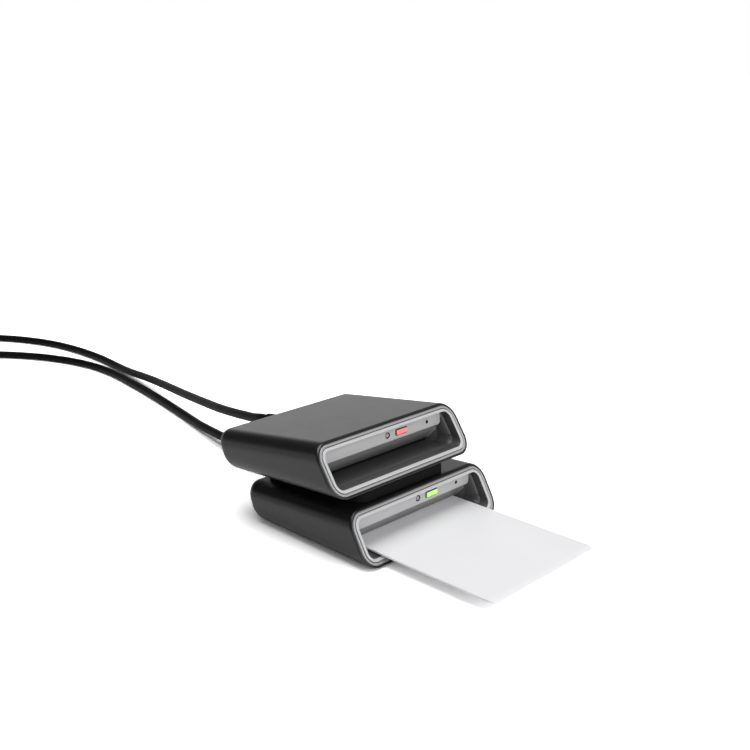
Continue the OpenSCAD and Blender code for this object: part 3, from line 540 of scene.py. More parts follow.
def rounded_rim(thick, edge):
    """Growth and depth of the outlines that round both rims of a plate."""
    soft = 0.3 * edge
    return [(-edge, 0.0), (-soft, soft), (0.0, edge),
            (0.0, thick - edge), (-soft, thick - soft), (-edge, thick)]


def plate(bm, outlines, thick, edge, lift):
    """A plate with rounded rims. outlines holds functions of the growth: the outer one, then its holes."""
    tops, feet = [], []
    for number, outline in enumerate(outlines):
        sign = 1 if number == 0 else -1
        top, foot = skin(bm, [[lift(x, y, down) for x, y in outline(sign * grow)]
                              for grow, down in rounded_rim(thick, edge)])
        tops += top
        feet += foot
    for rims in (tops, feet):
        bmesh.ops.triangle_fill(bm, use_beauty=True, use_dissolve=False, edges=rims)


def turned(bm, profile, segments=40):
    """Spins a profile of (distance along Y, radius) points round the Y axis."""
    verts = [bm.verts.new((r, y, 0)) for y, r in profile]
    edges = [bm.edges.new(pair) for pair in zip(verts, verts[1:])]
    bmesh.ops.spin(bm, geom=verts + edges, axis=(0, 1, 0), cent=(0, 0, 0), angle=2 * math.pi, steps=segments,
                   use_merge=True)
    bmesh.ops.remove_doubles(bm, verts=bm.verts[:], dist=SAME_SPOT)


def finished(name, bm, slot, nodes, place, body="readers", crease=35, glow=None):
    """Turns a bmesh into a piece at the origin, with its place in its mesh."""
    bmesh.ops.remove_doubles(bm, verts=bm.verts[:], dist=SAME_SPOT)
    bmesh.ops.recalc_face_normals(bm, faces=bm.faces[:])
    if glow:
        layer = bm.verts.layers.float.new("glow")
        for v in bm.verts:
            v[layer] = glow(v.co)
    bmesh.ops.transform(bm, matrix=place, verts=bm.verts[:])
    mesh = bpy.data.meshes.new(name)
    bm.to_mesh(mesh)
    bm.free()
    mesh.shade_smooth()
    mesh.set_sharp_from_angle(angle=math.radians(crease))
    return carried(bpy.data.objects.new(name, mesh), slot, body, nodes)


FINISHES = {}


def carried(piece, slot, body, nodes):
    """Gives a piece its finish and its body, and hides the CAD nodes that it stands for."""
    bpy.context.scene.collection.objects.link(piece)
    piece.data.materials.append(FINISHES[slot])
    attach(piece, body)
    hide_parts(*nodes)
    return piece


# Pieces of a reader

class BuildOperator:
    """What the operators share."""

    bl_options = {"REGISTER", "UNDO"}

    def execute(self, context):
        self.build(context.scene.card_readers)
        return {"FINISHED"}


class READERS_OT_covers(BuildOperator, bpy.types.Operator):
    """Builds both covers: slanted mouth, sloping roof, leaning back wall and a hole for the base pan."""

    bl_idname = "readers.covers"
    bl_label = "Covers"

    def build(self, settings):
        for tier, prefix in enumerate(TIERS):
            bm = bmesh.new()
            form, c, m = Cover(settings), settings.cover, settings.mouth
            inner_r, shoulder, crest = 1.2 * MM, 0.3 * MM, 0.7 * c.lip
            quarter = [math.pi / 2 * k / 6 for k in range(7)]
            feet = [c.depth * share for share in (0.72, 0.45, 0.2)]
            loops = [form.back(c.wall + inner_r * (1 - math.cos(a)), c.wall + inner_r * (1 - math.sin(a)))
                     for a in reversed(quarter)]
            loops += [form.between(c.wall, foot) for foot in feet]
            loops += [form.mouth(c.wall, m.bezel_depth), form.mouth(c.lip, m.bezel_depth)]
            loops += [form.mouth(c.lip, shoulder + 0.2 * MM)]
            loops += [form.mouth(crest + (c.lip - crest) * math.cos(a), shoulder * (1 - math.sin(a)))
                      for a in quarter[:-1]]
            loops += [form.mouth(crest * (1 - math.sin(a)), c.lip * (1 - math.cos(a))) for a in quarter]
            loops += [form.mouth(0, 1.4 * c.lip)]
            loops += [form.between(0, foot) for foot in reversed(feet)]
            loops += [form.back(0, 1.15 * c.rear_corner)]
            loops += [form.back(c.rear_corner * (1 - math.cos(a)), c.rear_corner * (1 - math.sin(a)))
                      for a in quarter]
            skin(bm, loops, caps=(True, True))
            self.cut_pan_hole(bm, settings)
            finished(f"{prefix}_cover_shell", bm, "housing", nodes=[f"{prefix}_cover"],
                     place=standing(settings, tier), crease=50)

    def cut_pan_hole(self, bm, settings):
        """Cuts the hole through both sides of the floor, closes its walls and rounds its corners."""
        s, low = settings.stack, settings.cover.wall * 1.1

        def floor_faces():
            bm.normal_update()
            return [f for f in bm.faces if abs(f.normal.z) > 0.9 and all(v.co.z < low for v in f.verts)]

        for at, way in (((s.pan_half, 0, 0), (1, 0, 0)), ((-s.pan_half, 0, 0), (1, 0, 0)),
                        ((0, s.pan_front, 0), (0, 1, 0)), ((0, s.pan_back, 0), (0, 1, 0))):
            faces = floor_faces()
            edges, verts = once(e for f in faces for e in f.edges), once(v for f in faces for v in f.verts)
            bmesh.ops.bisect_plane(bm, geom=faces + edges + verts, dist=SAME_SPOT, plane_co=at, plane_no=way)
        hole = [f for f in floor_faces() if abs(f.calc_center_median().x) < s.pan_half
                and s.pan_front < f.calc_center_median().y < s.pan_back]
        bmesh.ops.delete(bm, geom=hole, context="FACES")
        bmesh.ops.bridge_loops(bm, edges=[e for e in bm.edges if e.is_boundary])

        def corner(v):
            off_side = abs(abs(v.co.x) - s.pan_half)
            off_end = min(abs(v.co.y - s.pan_front), abs(v.co.y - s.pan_back))
            return v.co.z < low and max(off_side, off_end) < 10 * SAME_SPOT

        uprights = [e for e in bm.edges if all(corner(v) for v in e.verts)
                    and abs(e.verts[0].co.z - e.verts[1].co.z) > low / 2]
        rounded(bm, uprights, 3 * MM, 5)


class READERS_OT_mouths(BuildOperator, bpy.types.Operator):
    """Builds the grey bezels, the bright rings and the black rooms behind them."""

    bl_idname = "readers.mouths"
    bl_label = "Mouths"

    def build(self, settings):
        form, c, m = Cover(settings), settings.cover, settings.mouth
        for tier, prefix in enumerate(TIERS):
            place = standing(settings, tier)
            inner = c.lip + m.band
            bm = bmesh.new()
            # Inset and depth of each outline: the band's rounded face, the groove, the seat and the back
            skin(bm, [form.mouth(inset, behind) for inset, behind in (
                (c.lip, 0.6 * MM), (c.lip + 0.03 * MM, 0.42 * MM), (c.lip + 0.11 * MM, 0.26 * MM),
                (c.lip + 0.23 * MM, 0.13 * MM), (c.lip + 0.38 * MM, 0.04 * MM), (c.lip + 0.55 * MM, 0.0),
                (inner - 0.32 * MM, 0.02 * MM), (inner - 0.18 * MM, 0.09 * MM), (inner - 0.07 * MM, 0.2 * MM),
                (inner - 0.01 * MM, 0.36 * MM), (inner, 0.5 * MM), (inner, m.groove_depth),
                (inner + m.groove, m.groove_depth), (inner + m.groove, m.bezel_depth),
                (form.opening, m.bezel_depth), (form.opening, m.bezel_depth + m.seat),
                (c.wall, m.bezel_depth + m.seat), (c.wall, m.bezel_depth), (c.lip, m.bezel_depth))],
                 closed=True)
            self.blacken(bm, form, 0.4 * MM)
            bezel = finished(f"{prefix}_grey_bezel", bm, "bezel_grey", nodes=[f"{prefix}_front_bezel"],
                             place=place)
            bezel.data.materials.append(FINISHES["liner_black"])
            near, away = inner + m.groove, form.opening
            bm = bmesh.new()
            skin(bm, [form.mouth(inset, behind) for inset, behind in (
                (near, 0.36 * MM), (near + 0.03 * MM, 0.18 * MM), (near + 0.13 * MM, 0.05 * MM),
                (near + 0.3 * MM, 0.0), (away - 0.4 * MM, 0.0), (away - 0.2 * MM, 0.04 * MM),
                (away - 0.06 * MM, 0.15 * MM), (away, 0.36 * MM), (away, m.bezel_depth),
                (near, m.bezel_depth))], closed=True)
            self.blacken(bm, form, 0.3 * MM)
            ring = finished(f"{prefix}_silver_ring", bm, "silver_ring", nodes=[f"{prefix}_bright_ring"],
                            place=place)
            ring.data.materials.append(FINISHES["liner_black"])
            self.liner(settings, form, prefix, place)

    def blacken(self, bm, form, depth):
        """Faces deeper than this behind the slanted mouth are bare black plastic, without the paint."""
        for face in bm.faces:
            spot = face.calc_center_median()
            behind = (spot.y - spot.z * math.tan(form.slant)) * math.cos(form.slant)
            face.material_index = int(behind > depth)

    def liner(self, settings, form, prefix, place):
        """The funnel behind the mouth; the step under the fascia has its own finish."""
        c, m, card = settings.cover, settings.mouth, settings.card
        behind = m.bezel_depth + m.seat
        front_floor = form.opening * math.cos(form.slant) - FIT
        wall = c.width / 2 - form.opening - m.taper
        step_y = m.fascia_y + m.fascia_t

        def floor(y):
            return front_floor + (card.slot_low - front_floor) * y / m.ramp_y

        bm = bmesh.new()
        # Each outline here has its half width, low and high ends, corner radius, depth and lean
        skin(bm, [
            form.section(c.wall + FIT, m.back_y, 0),
            form.mouth(c.wall + FIT, behind),
            form.mouth(form.opening - FIT, behind),
            form.outline(wall + 0.8 * MM, floor(8 * MM), m.roof, 2.5 * MM, 7.2 * MM, 0.39),
            form.outline(wall, floor(step_y), m.roof, 2.2 * MM, step_y + 0.25 * MM, 0),
            form.outline(wall, floor(step_y), m.fascia_z - FIT, 1.5 * MM, step_y + 0.3 * MM, 0),
            form.outline(wall - 0.3 * MM, floor(step_y), m.fascia_z - 1.0 * MM, 1.2 * MM,
                         step_y + 0.7 * MM, 0),
            form.outline(card.slot_half, card.slot_low, card.slot_high, 0.3 * MM, m.ramp_y, 0),
            form.outline(card.slot_half, card.slot_low, card.slot_high, 0.3 * MM, m.back_y, 0),
        ], closed=True)
        step_low, step_half = card.slot_high + 1.4 * MM, wall - 1.2 * MM
        for face in bm.faces:
            x, y, z = face.calc_center_median()
            face.material_index = int(z > step_low and abs(x) < step_half and step_y < y < m.ramp_y)
        room = finished(f"{prefix}_mouth_room", bm, "liner_black", nodes=[f"{prefix}_mouth_liner"],
                        place=place, crease=60)
        room.data.materials.append(FINISHES["step_grey"])


class READERS_OT_fascias(BuildOperator, bpy.types.Operator):
    """Builds the grey fascias with their lit windows and round inserts."""

    bl_idname = "readers.fascias"
    bl_label = "Fascias"

    def build(self, settings):
        c, m, li = settings.cover, settings.mouth, settings.lights
        form = Cover(settings)
        for tier, prefix in enumerate(TIERS):
            place = standing(settings, tier)
            wide = 2 * (c.width / 2 - form.opening - m.taper - FIT)
            foot, head = m.fascia_z, m.roof - FIT
            middle = (foot + head) / 2
            rise = li.height - middle

            def moved(points, dx, dy):
                return [(x + dx, y + dy) for x, y in points]

            outlines = [
                lambda g: rounded_rectangle(wide, head - foot, m.fascia_t, g),
                lambda g: moved(rounded_rectangle(li.window_w, li.window_h, li.window_h / 4, g),
                                li.window_x, rise),
                lambda g: moved(disc(li.port_d, g), li.port_x, rise),
                lambda g: moved(disc(li.pinhole_d, g, 20), li.pinhole_x, rise),
            ]
            bm = bmesh.new()
            plate(bm, outlines, m.fascia_t, 0.1 * MM,
                  lambda x, z, down: Vector((x, m.fascia_y + down, middle + z)))
            bm.normal_update()
            for face in bm.faces:
                face.material_index = int(face.calc_center_median().y > m.fascia_y + 0.06 * MM)
            fascia = finished(f"{prefix}_grey_fascia", bm, "fascia_grey", nodes=[f"{prefix}_fascia"],
                              place=place)
            fascia.data.materials.append(FINISHES["liner_black"])
            self.window(settings, prefix, place, tier)
            self.insert(settings, prefix, place)

    def window(self, settings, prefix, place, tier):
        """A pane with a base, a little proud of the fascia's face. Its sides are painted in shade: a darker
        colour, without glow.
        """
        m, li = settings.mouth, settings.lights
        proud, slack = 0.45 * MM, 0.06 * MM
        face, base = m.fascia_y - proud, m.fascia_y + 0.85 * MM
        wide, high = li.window_w - slack, li.window_h - slack

        def loop(shrink, y):
            return [Vector((li.window_x + x, y, li.height + z))
                    for x, z in rounded_rectangle(wide, high, li.window_h / 4, -shrink)]

        bm = bmesh.new()
        skin(bm, [loop(0, m.fascia_y + m.fascia_t), loop(0, base), loop(li.gap, base),
                  loop(li.gap, face + 0.2 * MM), loop(li.gap + 0.05 * MM, face + 0.06 * MM),
                  loop(li.gap + 0.16 * MM, face), loop(li.gap + 0.3 * MM, face - 0.01 * MM)],
             caps=(True, True))

        # Painted shade: the face glows fully, a thin rim just behind it a quarter, and the sides not at all,
        # so they take the shaded colour.
        def glow(co):
            if co.y < face + 0.03 * MM:
                return 1.0
            return 0.25 if co.y < face + 0.1 * MM else 0.0

        finished(f"{prefix}_lit_window", bm, ("window_green", "window_red")[tier],
                 nodes=[f"{prefix}_led_window"], place=place, glow=glow)

    def insert(self, settings, prefix, place):
        """A small dished button, flush in its hole."""
        m, li = settings.mouth, settings.lights
        r, face, root = li.insert_d / 2, m.fascia_y + 0.08 * MM, m.fascia_y + 1.15 * m.fascia_t
        bm = bmesh.new()
        turned(bm, [(root, 0), (root, r), (face + 0.15 * MM, r), (face + 0.03 * MM, r - 0.06 * MM),
                    (face, r - 0.18 * MM), (face + 0.02 * MM, r - 0.3 * MM), (face + 0.09 * MM, r - 0.4 * MM),
                    (face + 0.11 * MM, 0)], 32)
        finished(f"{prefix}_round_button", bm, "insert_grey", nodes=[f"{prefix}_round_insert"],
                 place=place @ Matrix.Translation((li.port_x, 0, li.height)))


class READERS_OT_underside(BuildOperator, bpy.types.Operator):
    """Builds the rubber feet and the spacer between the readers."""

    bl_idname = "readers.underside"
    bl_label = "Feet and spacer"

    def build(self, settings):
        s = settings.stack
        feet = [(x, y) for x in (-18 * MM, 18 * MM) for y in (9.5 * MM, 43 * MM)]
        r, sunk = s.foot_d / 2, 0.4 * MM
        for tier, prefix in enumerate(TIERS):
            bm = bmesh.new()
            for x, y in feet:
                made = bmesh.ops.create_cone(bm, cap_ends=True, segments=40, radius1=r, radius2=r,
                                             depth=s.foot + sunk)
                bmesh.ops.translate(bm, verts=made["verts"], vec=(x, y, (sunk - s.foot) / 2))
            rims = [e for e in bm.edges if all(abs(v.co.z + s.foot) < SAME_SPOT for v in e.verts)]
            rounded(bm, rims, 0.25 * MM, 4)
            finished(f"{prefix}_rubber_feet", bm, "rubber", nodes=[f"{prefix}_feet"],
                     place=standing(settings, tier))
        bm = bmesh.new()
        long, middle = s.spacer_long, s.spacer_front + s.spacer_long / 2
        plate(bm, [lambda g: rounded_rectangle(2 * s.spacer_half, long, 4 * MM, g)], s.gap - s.foot, 0.5 * MM,
              lambda x, y, down: Vector((x, middle + y, -s.gap + down)))
        finished("rubber_spacer", bm, "rubber", nodes=["stacking_spacer"], place=standing(settings, 1))


class READERS_OT_card(BuildOperator, bpy.types.Operator):
    """Builds the blank card in the lower reader, with the seat of its contact pad."""

    bl_idname = "readers.card"
    bl_label = "Card"

    def build(self, settings):
        k = settings.card
        middle, top = k.inside - k.long / 2, k.height + k.thick
        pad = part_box("card_contacts")
        own = standing(settings, 0).inverted()
        low, high = own @ pad[0], own @ pad[1]
        pad_x, pad_y = (low.x + high.x) / 2, (low.y + high.y) / 2
        wide, long = high.x - low.x, high.y - low.y

        def seat(depth):
            return [Vector((pad_x + x, pad_y + y, top - depth))
                    for x, y in rounded_rectangle(wide, long, 0.02 * MM, 0.0, 1)]

        bm = bmesh.new()
        rim, foot = skin(bm, [[Vector((x, middle + y, top - down))
                               for x, y in rounded_rectangle(k.wide, k.long, k.corner, grow, 10)]
                              for grow, down in rounded_rim(k.thick, 0.14 * MM)])
        bmesh.ops.edgeloop_fill(bm, edges=foot)
        edges, _ = skin(bm, [seat(0.0), seat(0.1 * MM)], caps=(False, True))
        bmesh.ops.triangle_fill(bm, use_beauty=True, use_dissolve=False, edges=rim + edges)
        finished("blank_card", bm, "card_white", body="card", nodes=["smart_card"],
                 place=standing(settings, 0))


# Cords

LOWER_ROUTE = [
    (0.0004, 0.058, 0.0081), (0.0012, 0.068, 0.0072), (0.0027, 0.079, 0.0061), (0.0048, 0.091, 0.005),
    (0.007, 0.1025, 0.0041), (0.0094, 0.114, 0.0033), (0.012, 0.126, 0.0026), (0.0147, 0.137, 0.0022),
    (0.0173, 0.1485, 0.002), (0.0198, 0.1605, 0.002), (0.0222, 0.1725, 0.002), (0.0244, 0.1845, 0.002),
    (0.0264, 0.1965, 0.002), (0.0282, 0.2085, 0.002), (0.0298, 0.219, 0.002), (0.031, 0.232, 0.002),
    (0.031, 0.246, 0.002), (0.029, 0.26, 0.002), (0.025, 0.274, 0.002), (0.019, 0.288, 0.002),
    (0.011, 0.301, 0.002), (0.001, 0.313, 0.0022), (-0.01, 0.324, 0.0026),
]
UPPER_ROUTE = [
    (-0.0035, 0.066, 0.0241), (-0.0023, 0.0725, 0.023), (-0.0008, 0.0795, 0.0218), (0.0013, 0.0885, 0.0203),
    (0.004, 0.0995, 0.0186), (0.0075, 0.111, 0.0168), (0.0115, 0.124, 0.0148), (0.0155, 0.1373, 0.0129),
    (0.0195, 0.151, 0.0111), (0.0235, 0.165, 0.0094), (0.0275, 0.1797, 0.0077), (0.031, 0.194, 0.0061),
    (0.034, 0.208, 0.0045), (0.0365, 0.221, 0.0031), (0.0388, 0.233, 0.0022), (0.0405, 0.245, 0.002),
    (0.042, 0.259, 0.002), (0.0425, 0.274, 0.002), (0.042, 0.289, 0.002), (0.04, 0.304, 0.002),
    (0.036, 0.319, 0.002), (0.03, 0.333, 0.002), (0.022, 0.346, 0.002), (0.012, 0.358, 0.002),
    (0.001, 0.369, 0.0022), (-0.011, 0.379, 0.0026),
]


# Middle of each coil, the angle in degrees at which the cord comes in, and its hand
COILS = (((-0.045, 0.317), 45, 1), ((-0.007, 0.412), 235, -1))


class Run:
    """The way of one cord: route over the table, two-layer coil, tail and plug."""

    def __init__(self, settings, tier):
        self.s, self.tier = settings.cord, tier
        s = self.s
        self.middle, angle, self.hand = COILS[tier]
        self.angle = math.radians(angle)
        self.low = s.thick / 2 + s.strap_t + FIT
        self.outer = s.middle + s.turns * s.pitch / 2
        self.inner = self.outer - s.turns * s.pitch
        self.heading = self.hand * Vector((-math.sin(self.angle), math.cos(self.angle), 0))
        place = standing(settings, tier)
        self.collar = settings.cover.depth + settings.cover.rear_lean + 0.2 * MM
        self.relief_end = self.collar + s.relief
        self.exit = place @ Vector((0, self.relief_end, s.exit_z))
        self.straight = place @ Vector((0, self.relief_end + s.thick, s.exit_z))
        self.start = self.spot(0) - s.thick * self.heading
        self.end = self.spot(2 * s.turns)
        self.plug = self.end + s.tail * self.heading
        self.plug.z = 4 * MM

    def radius(self, t):
        """Radius after t turns: the lower layer winds inwards, the upper one outwards."""
        s = self.s
        return self.outer - s.pitch * t if t < s.turns else self.inner + s.pitch * max(t - s.turns - 0.5, 0)

    def height(self, t):
        """Height after t turns: half a turn leads up to the second layer."""
        return self.low + self.s.pitch * min(max(2 * (t - self.s.turns), 0), 1)

    def spot(self, t):
        a = self.angle + self.hand * 2 * math.pi * t
        return Vector((self.middle[0] + self.radius(t) * math.cos(a),
                       self.middle[1] + self.radius(t) * math.sin(a), self.height(t)))

    def points(self):
        """Points from the strain relief over the route, the coil and the tail to the plug."""
        s, steps = self.s, 24
        way = [self.exit, self.straight, *map(Vector, (LOWER_ROUTE, UPPER_ROUTE)[self.tier]), self.start]
        way += [self.spot(k / steps) for k in range(2 * s.turns * steps + 1)]
        drop = self.plug.z - self.end.z
        way += [self.end + share * s.tail * self.heading + Vector((0, 0, fall * drop))
                for share, fall in ((0.2, 0), (0.4, 0.1), (0.6, 0.5), (0.8, 0.9))]
        return way + [self.plug - s.thick * self.heading, self.plug]

    def at_plug(self):
        """Matrix that takes a plug along +X to the end of its cord."""
        turn = math.atan2(self.heading.y, self.heading.x)
        return Matrix.Translation(self.plug) @ Matrix.Rotation(turn, 4, "Z")


def eased(points, parts):
    """Fills in a smooth line through the points."""
    out = []
    last = len(points) - 1
    for i in range(last):
        p0, p1, p2, p3 = (points[j] for j in (max(i - 1, 0), i, i + 1, min(i + 2, last)))
        for k in range(parts):
            t = k / parts
            out.append(0.5 * (2 * p1 + (p2 - p0) * t + (2 * p0 - 5 * p1 + 4 * p2 - p3) * t ** 2
                              + (3 * p1 - p0 - 3 * p2 + p3) * t ** 3))
    return out + [points[-1]]


def round_lines(name, ways, thick, resolution=5):
    """A curve that is round in section, through each of the ways."""
    data = bpy.data.curves.new(name, "CURVE")
    data.dimensions = "3D"
    data.bevel_depth, data.bevel_resolution, data.use_fill_caps = thick / 2, resolution, True
    for way in ways:
        spline = data.splines.new("POLY")
        spline.points.add(len(way) - 1)
        for point, co in zip(spline.points, way):
            point.co = (*co, 1.0)
    return data


class READERS_OT_cords(BuildOperator, bpy.types.Operator):
    """Builds each reader's strain relief, cord, coil, strap and plug, and the wires inside."""

    bl_idname = "readers.cords"
    bl_label = "Cords"

    def build(self, settings):
        for tier, prefix in enumerate(TIERS):
            run = Run(settings, tier)
            way = eased(run.points(), 3)
            line = round_lines(f"{prefix}_cable", [way], settings.cord.thick)
            cord = carried(bpy.data.objects.new(line.name, line), "cord_black", "readers",
                           [f"{prefix}_cord", f"{prefix}_cord_coil"])
            strap = self.strap(settings, prefix, run)
            grip = self.grip(prefix, run)
            total = sum((b - a).length for a, b in zip(way, way[1:]))
            tuple(run.exit)
            self.relief(settings, prefix, run, tier)
            self.wires(settings, prefix, tier)

    def relief(self, settings, prefix, run, tier):
        """Tapered strain relief: a collar against the back wall, then ribs that grow thinner."""
        s, c, collar = settings.cord, settings.cover, run.collar
        start, neck, rim = c.depth - 1.4 * MM, 3.6 * MM, 4 * MM
        profile = [(start, 0), (start, neck), (c.depth + 2.2 * MM, neck), (c.depth + 2.6 * MM, rim),
                   (collar - 0.4 * MM, rim), (collar - 0.1 * MM, rim - 0.15 * MM), (collar, neck)]
        ribs, gap = 4, 0.75 * MM
        step = s.relief / ribs
        for k in range(ribs):
            y, thick, thin = collar + k * step, (3.3 - 0.2 * k) * MM, (2.6 - 0.08 * k) * MM
            profile += [(y, thin + 0.1 * MM), (y + gap * 0.5, thin), (y + gap, thin + 0.06 * MM),
                        (y + gap + 0.12 * MM, thick - 0.08 * MM), (y + gap + 0.35 * MM, thick),
                        (y + step - 0.25 * MM, thick - 0.12 * MM), (y + step, thick - 0.35 * MM)]
        profile += [(run.relief_end, s.thick / 2), (run.relief_end - 2 * MM, s.thick / 2),
                    (run.relief_end - 2 * MM, 0)]
        bm = bmesh.new()
        turned(bm, profile)
        finished(f"{prefix}_relief", bm, "rubber", nodes=[f"{prefix}_strain_relief"],
                 place=standing(settings, tier) @ Matrix.Translation((0, 0, s.exit_z)))

    def wires(self, settings, prefix, tier):
        """Four wires from the header down to the strain relief."""
        place = standing(settings, tier)
        high, low, apart, close, thick = 11.15 * MM, settings.cord.exit_z, 2 * MM, 1.08 * MM, 0.9 * MM
        ways = []
        for k in (-1.5, -0.5, 0.5, 1.5):
            points = [(k * apart, 51 * MM, high), (k * apart, 53.9 * MM, high),
                      (k * 1.45 * MM, 56.2 * MM, (high + low) / 2),
                      (k * close, 56.9 * MM, low), (k * close, 57.4 * MM, low)]
            ways.append(eased([place @ Vector(p) for p in points], 4))
        lines = round_lines(f"{prefix}_wire_lines", ways, thick, 3)
        draft = bpy.data.objects.new(lines.name, lines)
        mesh = bpy.data.meshes.new_from_object(draft)
        bpy.data.objects.remove(draft)
        for face in mesh.polygons:
            face.material_index = len(WIRES) * face.index // len(mesh.polygons)
        first, *others = WIRES
        carried(bpy.data.objects.new(f"{prefix}_four_wires", mesh), f"wire_{first}", "readers",
                [f"{prefix}_inner_wires"])
        for word in others:
            mesh.materials.append(FINISHES[f"wire_{word}"])

    def strap(self, settings, prefix, run):
        """A woven strap round both layers of the coil, with its end lapped over itself."""
        s = settings.cord
        bow, turn = 0.8 * MM, 0.75
        near = run.radius(s.turns - 1 + turn) - s.thick / 2 - bow - s.strap_t
        away = run.radius(turn) + s.thick / 2 + FIT + s.strap_t
        low = run.low - s.thick / 2 - FIT - s.strap_t
        high = run.low + s.pitch + s.thick / 2 + FIT + s.strap_t
        wide, tall = away - near, high - low

        def loop(shrink, y):
            return [Vector(((near + away) / 2 + x, y, (low + high) / 2 + z))
                    for x, z in rounded_rectangle(wide, tall, 1.6 * MM, -shrink)]

        half, t, e = s.strap_w / 2, s.strap_t, 0.15 * MM
        bm = bmesh.new()
        skin(bm, [loop(0, -half + e), loop(0, half - e), loop(e, half), loop(t - e, half), loop(t, half - e),
                  loop(t, -half + e), loop(t - e, -half), loop(e, -half)], closed=True)
        lap = bmesh.new()
        plate(lap, [lambda g: rounded_rectangle(0.45 * wide, 0.92 * s.strap_w, 1.2 * MM, g)],
              0.5 * MM, 0.12 * MM,
              lambda x, y, down: Vector(((near + away) / 2 + x, y, high - 0.1 * MM + down)))
        spare = bpy.data.meshes.new("lap")
        lap.to_mesh(spare)
        lap.free()
        bm.from_mesh(spare)
        bpy.data.meshes.remove(spare)
        place = (Matrix.Translation((*run.middle, 0))
                 @ Matrix.Rotation(run.angle + run.hand * 2 * math.pi * turn, 4, "Z"))
        return finished(f"{prefix}_strap", bm, "strap_black", nodes=[f"{prefix}_cord_tie"], place=place)

    def grip(self, prefix, run):
        """Moulded plug grip: a tapered boss, a soft-edged body and finger ribs on its sides."""
        boss, long, wide, high, soft = 8 * MM, 27 * MM, 15.5 * MM, 8 * MM, 2.4 * MM
        first_rib, rib_step, groove_w, groove_h = 5 * MM, 2.6 * MM, wide - 0.9 * MM, high - 0.25 * MM

        def loop(x, w, h, r):
            return [Vector((x, y, z)) for y, z in rounded_rectangle(w, h, r)]

        loops = [loop(0, 5 * MM, 5 * MM, 2.45 * MM), loop(0.4 * boss, 5.4 * MM, 5.4 * MM, 2.65 * MM),
                 loop(boss - 0.6 * MM, 6.4 * MM, 6.4 * MM, 3.1 * MM), loop(boss, 8.5 * MM, 6.8 * MM, 3 * MM),
                 loop(boss + 1 * MM, wide - 2.4 * MM, high - 0.7 * MM, 2.6 * MM),
                 loop(boss + 2.2 * MM, wide - 0.6 * MM, high - 0.1 * MM, soft)]
        for k in range(5):
            x = boss + first_rib + k * rib_step
            loops += [loop(x, wide, high, soft), loop(x + 0.3 * MM, groove_w, groove_h, 2.2 * MM),
                      loop(x + 0.9 * MM, groove_w, groove_h, 2.2 * MM), loop(x + 1.2 * MM, wide, high, soft)]
        end = boss + long
        loops += [loop(end - 1.2 * MM, wide, high, soft),
                  loop(end - 0.3 * MM, wide - 0.5 * MM, high - 0.5 * MM, 2.2 * MM),
                  loop(end, wide - 1.6 * MM, high - 1.6 * MM, 1.8 * MM)]
        bm = bmesh.new()
        skin(bm, loops, caps=(True, True))
        return finished(f"{prefix}_plug_body", bm, "plug_black", nodes=[f"{prefix}_plug_grip"],
                        place=run.at_plug(), crease=45)


class READERS_OT_frame_finishes(BuildOperator, bpy.types.Operator):
    """Gives every CAD node that stays its finish."""

    bl_idname = "readers.frame_finishes"
    bl_label = "Frame finishes"

    def build(self, settings):
        slots = {
            "base_pan": "pan", "case_screws": "steel", "slot_frame": "frame_black",
            "contact_block": "block_cream", "contact_springs": "gold", "switch_lever": "lever_white",
            "circuit_board": "board_green", "reader_chip": "chip_black", "crystal": "steel",
            "status_led": "led_clear", "cable_header": "header_white", "plug_shell": "plug_steel",
            "plug_tongue": "tongue_white", "plug_contacts": "gold", "card_contacts": "gold",
        }
        for name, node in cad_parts.items():
            key = name.split("_", 1)[1] if name.startswith(TIERS) else name
            if key in slots:
                node.data.materials.clear()
                node.data.materials.append(FINISHES[slots[key]])


# Stage

CAMERA_AT, CAMERA_WAY = (-0.25206, -0.24577, 0.15955), (0.6841, 0.6716, -0.2846)
CAMERA_LENS, CAMERA_SENSOR = 49.83, 36.0
# Name, place, diameter and power of each lamp; both look at the origin
LAMPS = (("softbox above", (-0.05, 0.18, 1.2), 1.0, 10.3),
         ("softbox in front", (-0.15, -1.2, 0.62), 1.3, 12.4))
FLOOR_LIT, FLOOR_SEEN = 0.88, 1.7     # the floor's colour for light, and as the camera sees it
LEFT_WALL, BLACK_PANEL = (-0.97, -0.24, 0.0), (-0.15, 0.72, 0.68)     # the ways in which they lie


